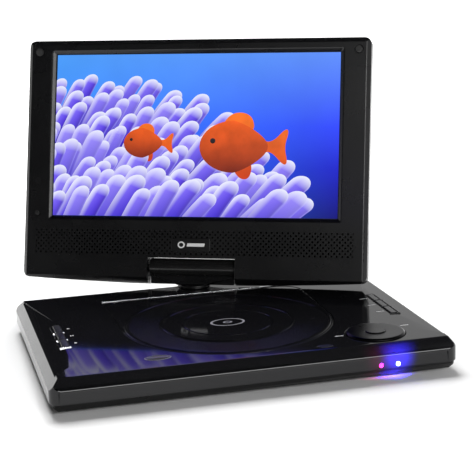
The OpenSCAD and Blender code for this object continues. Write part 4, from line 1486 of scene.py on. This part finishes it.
@dataclass
class Picture:
    """The lit picture: water, tentacles and two plain fish, in very shallow relief."""

    size_mm: Pair = (199.2, 112.0)
    face_mm: float = 7.52
    crest_mm: tuple[float, float, float] = (-60.0, 92.0, 0.0056)
    strip_mm: Pair = (9.4, 40.0)
    pitch_mm: Pair = (9.2, 12.0)
    deepest_mm: float = 0.9
    seed: int = 11

    def build(self, shop: Workshop, place: Matrix, middle_mm: float) -> None:
        """Makes the picture's pieces.

        Args:
            shop: The workshop.
            place: The screen's axes.
            middle_mm: How high the picture's middle is on the panel.
        """
        shop.finishes["water_light"] = water_light()
        shop.finishes["tentacle_light"] = tentacle_light()
        for name, bright, deep in (
            ("fish_orange", (0.9, 0.12, 0.015), (0.2, 0.02, 0.01)),
            ("fin_orange", (1.0, 0.19, 0.02), (0.6, 0.05, 0.01)),
            ("fish_eye", (0.02, 0.02, 0.03), (0.01, 0.01, 0.01)),
        ):
            shop.finishes[name] = fish_light(name, bright, deep)
        self.stand = (
            place @ Matrix.Scale(MM, 4) @ Matrix.Translation((0, 0, middle_mm)) @ upright()
        )
        self.add_water(shop)
        self.add_tentacles(shop)
        self.add_fish(shop, "small_fish", (-33.0, -5.5), 38.0, 1)
        self.add_fish(shop, "large_fish", (33.0, -8.0), 66.0, 2)

    def flat_piece(self, draft: Draft, name: str) -> bpy.types.Object:
        """Ends a draft on the picture's plane, with a UV map over its own box."""
        obj = draft.finish(name, Matrix.Scale(1 / MM, 4))
        points = np.array([v.co for v in obj.data.vertices])
        low, high = points.min(0), points.max(0)
        layer = obj.data.uv_layers.new(name="UVMap")
        for loop in obj.data.loops:
            at = (points[loop.vertex_index] - low) / (high - low + 1e-9)
            layer.data[loop.index].uv = at[:2]
        obj.data.transform(self.stand)
        return obj

    def add_water(self, shop: Workshop) -> None:
        """Lays the water over the whole picture."""
        half_wide, half_high = self.size_mm[0] / 2, self.size_mm[1] / 2
        draft = Draft()
        draft.box(
            (-half_wide, -half_high, self.face_mm - 0.3), (half_wide, half_high, self.face_mm)
        )
        shop.fit(self.flat_piece(draft, "picture_water"), "screen", "water_light")

    def add_tentacles(self, shop: Workshop) -> None:
        """Grows the tentacles row behind row below the crest line."""
        wide, long = self.strip_mm
        across_count = int((self.size_mm[0] + 2 * long) / self.pitch_mm[0])
        up_count = int((self.size_mm[1] + long) / self.pitch_mm[1])
        place, height, fall = self.crest_mm
        repeat = Repeat("picture_tentacles", {
            "Columns": across_count, "Rows": up_count, "Pitch": self.pitch_mm[0],
            "Row pitch": self.pitch_mm[1], "Width": wide, "Length": long,
            "Crest place": place, "Crest height": height - self.size_mm[1] / 2,
            "Crest fall": fall, "Depth": self.deepest_mm, "Seed": self.seed,
            "Material": shop.finishes["tentacle_light"],
        })
        points = repeat.lattice()
        jitter = repeat.vector(repeat.random(-1.8, 1.8, 1), repeat.random(-3.2, 3.2, 2))
        base = repeat.vector(0.0, -0.35 * long)
        moved = repeat.moved(points, repeat.vector_sum("ADD", jitter, base).outputs[0])
        x, y = repeat.place()
        tip = repeat.sum("ADD", x, 0.35 * long)
        away = repeat.sum("SUBTRACT", tip, repeat.named("Crest place"))
        drop = repeat.sum("MULTIPLY", repeat.square(away), repeat.named("Crest fall"))
        limit = repeat.sum("SUBTRACT", repeat.named("Crest height"), drop)
        above = repeat.sum("GREATER_THAN", repeat.sum("ADD", y, 0.6 * long), limit)
        kept = repeat.without(moved, above)
        up = repeat.sum("DIVIDE", y, self.size_mm[1])
        near = repeat.sum("MULTIPLY", repeat.sum("SUBTRACT", 0.55, up), repeat.named("Depth"))
        wobble = repeat.random(0.0, 0.02, 5)
        lifted = repeat.moved(kept, repeat.vector(0.0, 0.0, repeat.sum("ADD", near, wobble)))
        size = repeat.sum("SUBTRACT", 0.98, repeat.sum("MULTIPLY", up, 0.45))
        size = repeat.sum("MULTIPLY", size, repeat.random(0.88, 1.12, 3))
        lean = repeat.sum("SUBTRACT", -0.5, repeat.sum("MULTIPLY", x, 0.0025))
        lean = repeat.sum("ADD", lean, repeat.random(-0.1, 0.1, 4))
        patched = repeat.marked(lifted, "patch", repeat.random(0.0, 0.6, 6))
        laid = repeat.instances(
            patched, self.strip(repeat), Rotation=repeat.vector(0.0, 0.0, lean), Scale=size
        )
        tentacles = repeat.grow(laid)
        tentacles.data.transform(Matrix.Translation((0, 0, self.face_mm + 0.03)))
        remade(tentacles, self.trim)
        tentacles.data.transform(self.stand)
        shop.fit(tentacles, "screen")

    def strip(self, repeat: Repeat) -> bpy.types.NodeSocket:
        """Draws one tentacle: a strip with a round tip that bends a little to the right."""
        grid = repeat.add(
            "GeometryNodeMeshGrid", {0: 1.0, 1: 1.0, "Vertices X": 7, "Vertices Y": 16}
        )
        x, y = repeat.place()
        across = repeat.sum("ADD", x, 0.5)
        even = repeat.sum("ADD", y, 0.5)
        along = repeat.sum("MULTIPLY", even, repeat.sum("SUBTRACT", 2.0, even))
        marked = grid.outputs[0]
        for name, value in (("across", across), ("along", along)):
            marked = repeat.marked(marked, name, value)
        end = repeat.sum("DIVIDE", repeat.sum("SUBTRACT", along, 0.87), 0.13)
        end = repeat.sum("MAXIMUM", end, 0.0)
        girth = repeat.sum("SQRT", repeat.sum(
            "MAXIMUM", repeat.sum("SUBTRACT", 1.0, repeat.square(end)), 0.004
        ))
        bend = repeat.sum("MULTIPLY", repeat.square(along), 0.14)
        sideways = repeat.sum(
            "ADD", repeat.sum("MULTIPLY", repeat.sum("MULTIPLY", x, girth), repeat.named("Width")),
            repeat.sum("MULTIPLY", bend, repeat.named("Length")),
        )
        upward = repeat.sum("MULTIPLY", along, repeat.named("Length"))
        shaped = repeat.add("GeometryNodeSetPosition", {
            "Geometry": marked, "Position": repeat.vector(sideways, upward, 0.0),
        })
        return shaped.outputs[0]

    def trim(self, bm: bmesh.types.BMesh) -> None:
        """Cuts the tentacles off at the picture's four sides."""
        sides = ((1, 0, self.size_mm[0] / 2), (0, 1, self.size_mm[1] / 2))
        for x, y, half in sides:
            for way in (1, -1):
                bmesh.ops.bisect_plane(
                    bm, geom=[*bm.verts, *bm.edges, *bm.faces], clear_outer=True,
                    plane_co=(x * way * half, y * way * half, 0), plane_no=(x * way, y * way, 0),
                )

    def add_fish(
        self, shop: Workshop, name: str, at: Pair, long: float, layer: int
    ) -> None:
        """Draws a plain fish that swims to the left.

        Args:
            shop: The workshop.
            name: Its name.
            at: Where its middle is on the picture.
            long: How long it is.
            layer: How far in front it lies.
        """
        x, y = at
        body, fins, eye = Draft(), Draft(), Draft()
        height = self.face_mm + self.deepest_mm + 0.1 * layer
        outline = []
        for i in range(40):
            turn = 2 * math.pi * i / 40
            reach = math.cos(turn)
            thick = 0.27 * (1 - 0.35 * reach) if reach > 0 else 0.27
            across = x + long * 0.36 * reach - 0.08 * long
            outline.append((across, y + long * thick * math.sin(turn)))
        self.leaf(body, outline, height + 0.04)
        shapes = (
            ((0.22, 0.06), (0.33, 0.05), (0.46, 0.19), (0.5, 0.16), (0.45, 0.0), (0.49, -0.17),
             (0.44, -0.19), (0.32, -0.05), (0.22, -0.06)),
            ((-0.22, 0.2), (-0.12, 0.34), (0.02, 0.36), (0.12, 0.3), (0.14, 0.16), (0.0, 0.16)),
            ((-0.1, -0.2), (-0.02, -0.33), (0.08, -0.34), (0.12, -0.24), (0.1, -0.14)),
        )
        for shape in shapes:
            fin = cut_corners([(x + long * a, y + long * b) for a, b in shape], 3)
            self.leaf(fins, fin, height)
        spot = oval((x - 0.3 * long, y + 0.06 * long), (0.028 * long, 0.028 * long), 0.0, 20)
        self.leaf(eye, [(a, b) for a, b, _ in spot], height + 0.08)
        for draft, part, finish in (
            (body, "body", "fish_orange"), (fins, "fins", "fin_orange"), (eye, "eye", "fish_eye"),
        ):
            shop.fit(self.flat_piece(draft, f"{name}_{part}"), "screen", finish)

    def leaf(self, draft: Draft, outline: list[Pair], height: float) -> None:
        """Adds a thin flat shape by its outline."""
        draft.loft([[(a, b, height + z) for a, b in outline] for z in (-0.03, 0.0)])


@dataclass
class Screen:
    """The screen's housing, grille and picture."""

    edge_mm: float = 0.5
    back_angle: float = 18.0
    badge_edge_mm: float = 0.35
    panel_edge_mm: float = 0.2
    middle_mm: float = 90.9
    mark_ring_mm: Point = (-6.6, 2.5, 2.3)
    mark_bar_mm: tuple[Pair, ...] = ((-2.8, -1.1), (9.4, -1.1), (9.9, 1.1), (-2.3, 1.1))

    def build(self, shop: Workshop) -> None:
        """Makes the bezel, the back and what is on them."""
        place = shop.frame.screen_place
        front = -shop.frame.local_box("screen_bezel", place)[0].y
        grille = Grille()
        bezel = copy_of_node(shop.frame, "screen_bezel", "screen_bezel_body")
        self.open_band(bezel, grille, place, front)
        back = place.inverted()

        def bezel_rule(middle: Vector, along: Vector) -> float:
            """Every edge but those of the grille's thin lip is rounded."""
            spot = (back @ (middle * MM)) / MM
            in_band = grille.band_mm[0] - 2 < spot.z < grille.band_mm[1] + 2
            return 0.0 if in_band and abs(spot.x) < 118 and spot.y < 2 - front else self.edge_mm

        round_by_rule(bezel, bezel_rule)
        shop.fit(bezel, "screen", "bezel_satin", ["screen_bezel"])
        shop.rounded("screen_back", "bezel_satin", self.edge_mm, 3, self.back_angle)
        shop.rounded("plain_badge", "bezel_satin", self.badge_edge_mm, 3)
        self.add_badge_mark(shop, place)
        shop.rounded("lcd_panel", "jack_plastic", self.panel_edge_mm, 2)
        grille.build(shop, place, front)
        Picture().build(shop, place, self.middle_mm)

    def add_badge_mark(self, shop: Workshop, place: Matrix) -> None:
        """Prints a plain ring and bar on the badge."""
        lowest, highest = shop.frame.local_box("plain_badge", place)
        up = (lowest.z + highest.z) / 2
        face = -lowest.y
        draft = Draft()
        at, wide, high = self.mark_ring_mm
        section = ((1.0, -0.03), (1.0, 0.04), (0.62, 0.04), (0.62, -0.03))
        ring = [oval((at, up), (wide * r, high * r), face + z, 40) for r, z in section]
        draft.loft(ring, around=True)
        bar = self.mark_bar_mm
        draft.loft([[(x, up + y, face + z) for x, y in bar] for z in (-0.03, 0.04)])
        mark = draft.finish("badge_mark", place @ upright())
        shop.fit(mark, "screen", "mark_white")

    def open_band(
        self, bezel: bpy.types.Object, grille: Grille, place: Matrix, front: float
    ) -> None:
        """Cuts the opening of the grille, with a lip that its strip lies behind."""
        stand = place @ upright()
        spread = grille.pitch_mm * 1.5
        low, high = grille.band_mm
        draft = Draft()
        draft.box((grille.span_mm[0], low, front - 0.6), (grille.span_mm[1], high, front + 1))
        opening = draft.finish("opening", stand)
        carve(bezel, opening)
        draft = Draft()
        draft.box(
            (grille.span_mm[0] - spread, low - 1.0, front - grille.body_mm - 0.05),
            (grille.span_mm[1] + spread, high + 1.0, front - grille.lip_mm + 0.02),
        )
        carve(bezel, draft.finish("seat", stand))


@dataclass
class Studio:
    """The camera, the floor and the soft light."""

    camera_at: Point = (-0.2003, -0.8373, 0.2687)
    heading: float = 14.17
    downward: float = 12.88
    roll: float = -1.81
    lens_mm: float = 107.07
    floor_half: float = 8.0
    floor_glow: float = 1.0
    dim_side: float = 0.012
    bright_side: float = 0.64
    panel_turn: Pair = (0.13, 0.26)
    panel_top: Pair = (0.45, 0.6)
    sweep: float = 1.5
    sweep_top: Pair = (0.1, 0.2)
    sweep_back: Pair = (-0.3, 0.3)
    backdrop: float = 1.1
    glow_at: Pair = (0.014, 0.004)
    glow_angle: float = 84.0

    def build(self) -> None:
        """Sets up everything that isn't part of the object."""
        self.add_camera()
        self.add_floor()
        self.add_world()
        self.add_lights()
        bpy.context.scene.view_settings.view_transform = "Standard"

    def add_camera(self) -> None:
        """Adds the camera."""
        turn, dip, roll = (math.radians(a) for a in (self.heading, self.downward, self.roll))
        ahead = Vector(
            (math.sin(turn) * math.cos(dip), math.cos(turn) * math.cos(dip), -math.sin(dip))
        )
        right = Vector((math.cos(turn), -math.sin(turn), 0.0))
        up = right.cross(ahead)
        side = right * math.cos(roll) + up * math.sin(roll)
        top = up * math.cos(roll) - right * math.sin(roll)
        data = bpy.data.cameras.new("camera")
        data.lens = self.lens_mm
        data.sensor_width = 36.0
        camera = bpy.data.objects.new("camera", data)
        axes = Matrix((side, top, -ahead)).transposed()
        camera.matrix_world = Matrix.Translation(self.camera_at) @ axes.to_4x4()
        bpy.context.scene.collection.objects.link(camera)
        bpy.context.scene.camera = camera

    def add_floor(self) -> None:
        """Adds a plain pale floor that turns to plain light away from the object."""
        shader = Shader("floor_white")
        pale = shader.effect(Effect.DRIFT, Base=(0.92, 0.92, 0.92), Amount=0.02, Scale=2.0)
        shader.feed(pale, "Base Color")
        glow = shader.ramp(shader.length(shader.coordinates("Object")), (
            (0.2, (0.0, 0.0, 0.0)), (0.55, (1.2, 1.2, 1.2)),
        ))
        shader.feed(glow, "Emission Color")
        shader.set(Roughness=0.9, Specular_IOR_Level=0.05, Emission_Strength=self.floor_glow)
        draft = Draft()
        side = self.floor_half / MM
        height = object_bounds()[0][2] / MM
        corners = ((-side, -side), (side, -side), (side, side), (-side, side))
        draft.bm.faces.new([draft.bm.verts.new((x, y, height)) for x, y in corners])
        floor = draft.finish("floor")
        floor.data.materials.append(shader.material)
        floor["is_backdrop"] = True

    def add_world(self) -> None:
        """Adds a white surround that is dim in front of the object, as a studio is."""
        world = bpy.data.worlds.new("studio")
        world.use_nodes = True
        bpy.context.scene.world = world
        nodes = Nodes(world.node_tree)
        background = nodes.tree.nodes["Background"]
        nodes.put(background.inputs["Color"], (1.0, 1.0, 1.0))
        x, y, z = nodes.split(nodes.coordinates("Generated"))
        turn = nodes.sum("ARCTAN2", x, y)
        step = "SMOOTHSTEP"
        panel = nodes.spread(turn, self.panel_turn, (self.dim_side, self.bright_side), step)
        top = nodes.spread(z, self.panel_top, (1.0, 0.1), step)
        panel = nodes.sum("MULTIPLY", panel, top)
        sweep = nodes.spread(z, self.sweep_top, (self.sweep, 0.0), step)
        back = nodes.spread(y, self.sweep_back, (0.25, 1.0), step)
        sweep = nodes.sum("MULTIPLY", sweep, back)
        light = nodes.sum("MAXIMUM", panel, sweep)
        seen = nodes.add("ShaderNodeLightPath").outputs["Is Camera Ray"]
        choice = nodes.add("ShaderNodeMix", {0: seen, 2: light, 3: self.backdrop})
        nodes.put(background.inputs["Strength"], choice.outputs[0])

    def add_area(
        self, name: str, at: Point, size: Pair, power: float, mirrored: bool
    ) -> None:
        """Adds a softbox that faces the object.

        Args:
            name: The light's name.
            at: Where it stands.
            size: Its width and height.
            power: Its power in watts.
            mirrored: Whether glossy surfaces show it.
        """
        data = bpy.data.lights.new(name, "AREA")
        data.shape = "RECTANGLE"
        data.size, data.size_y = size
        data.energy = power
        light = bpy.data.objects.new(name, data)
        light.location = at
        light.rotation_euler = (-Vector(at)).to_track_quat("-Z", "Y").to_euler()
        light.visible_glossy = mirrored
        bpy.context.scene.collection.objects.link(light)

    def add_lamp_glow(self, node: str, colour: Colour, power: float) -> None:
        """Lights the casing round a lit lamp.

        Args:
            node: The lamp's node.
            colour: The light's colour.
            power: Its power in watts.
        """
        low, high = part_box(node)
        data = bpy.data.lights.new(f"{node}_glow", "SPOT")
        data.color = colour
        data.energy = power
        data.spot_size = math.radians(self.glow_angle)
        data.spot_blend = 1.0
        data.shadow_soft_size = 0.002
        light = bpy.data.objects.new(data.name, data)
        ahead, above = self.glow_at
        light.location = ((low.x + high.x) / 2, low.y - ahead, (low.z + high.z) / 2 + above)
        light.rotation_euler = (math.radians(90), 0, 0)
        light.visible_glossy = False
        bpy.context.scene.collection.objects.link(light)

    def add_lights(self) -> None:
        """Adds the softboxes and the glow in front of the two lamps."""
        self.add_area("overhead", (0.0, 1.1, 1.5), (1.1, 1.1), 52.0, False)
        self.add_area("front_strip", (0.4, -1.6, 0.7), (1.2, 0.45), 13.0, True)
        self.add_area("front_left", (-0.62, -1.35, 0.8), (0.4, 0.4), 0.8, True)
        self.add_lamp_glow("power_lamp", (0.05, 0.03, 1.0), 1.8)
        self.add_lamp_glow("charge_lamp", (1.0, 0.05, 0.35), 0.06)


def main() -> None:
    """Builds every sub-assembly in order."""
    logging.basicConfig(level=logging.INFO, format="%(message)s")
    frame = Frame()
    shop = Workshop(frame)
    for part in (Base(), Lid(), Controls(), Hinge(), Screen()):
        part.build(shop)
    for rounding in ROUNDED_NODES:
        shop.rounded(
            rounding.node, rounding.finish, rounding.width_mm, rounding.segments, rounding.angle
        )
    for node, finish in PLAIN_NODES.items():
        shop.paint(frame.nodes[node], finish)
    Studio().build()


if __name__ == "__main__":
    main()
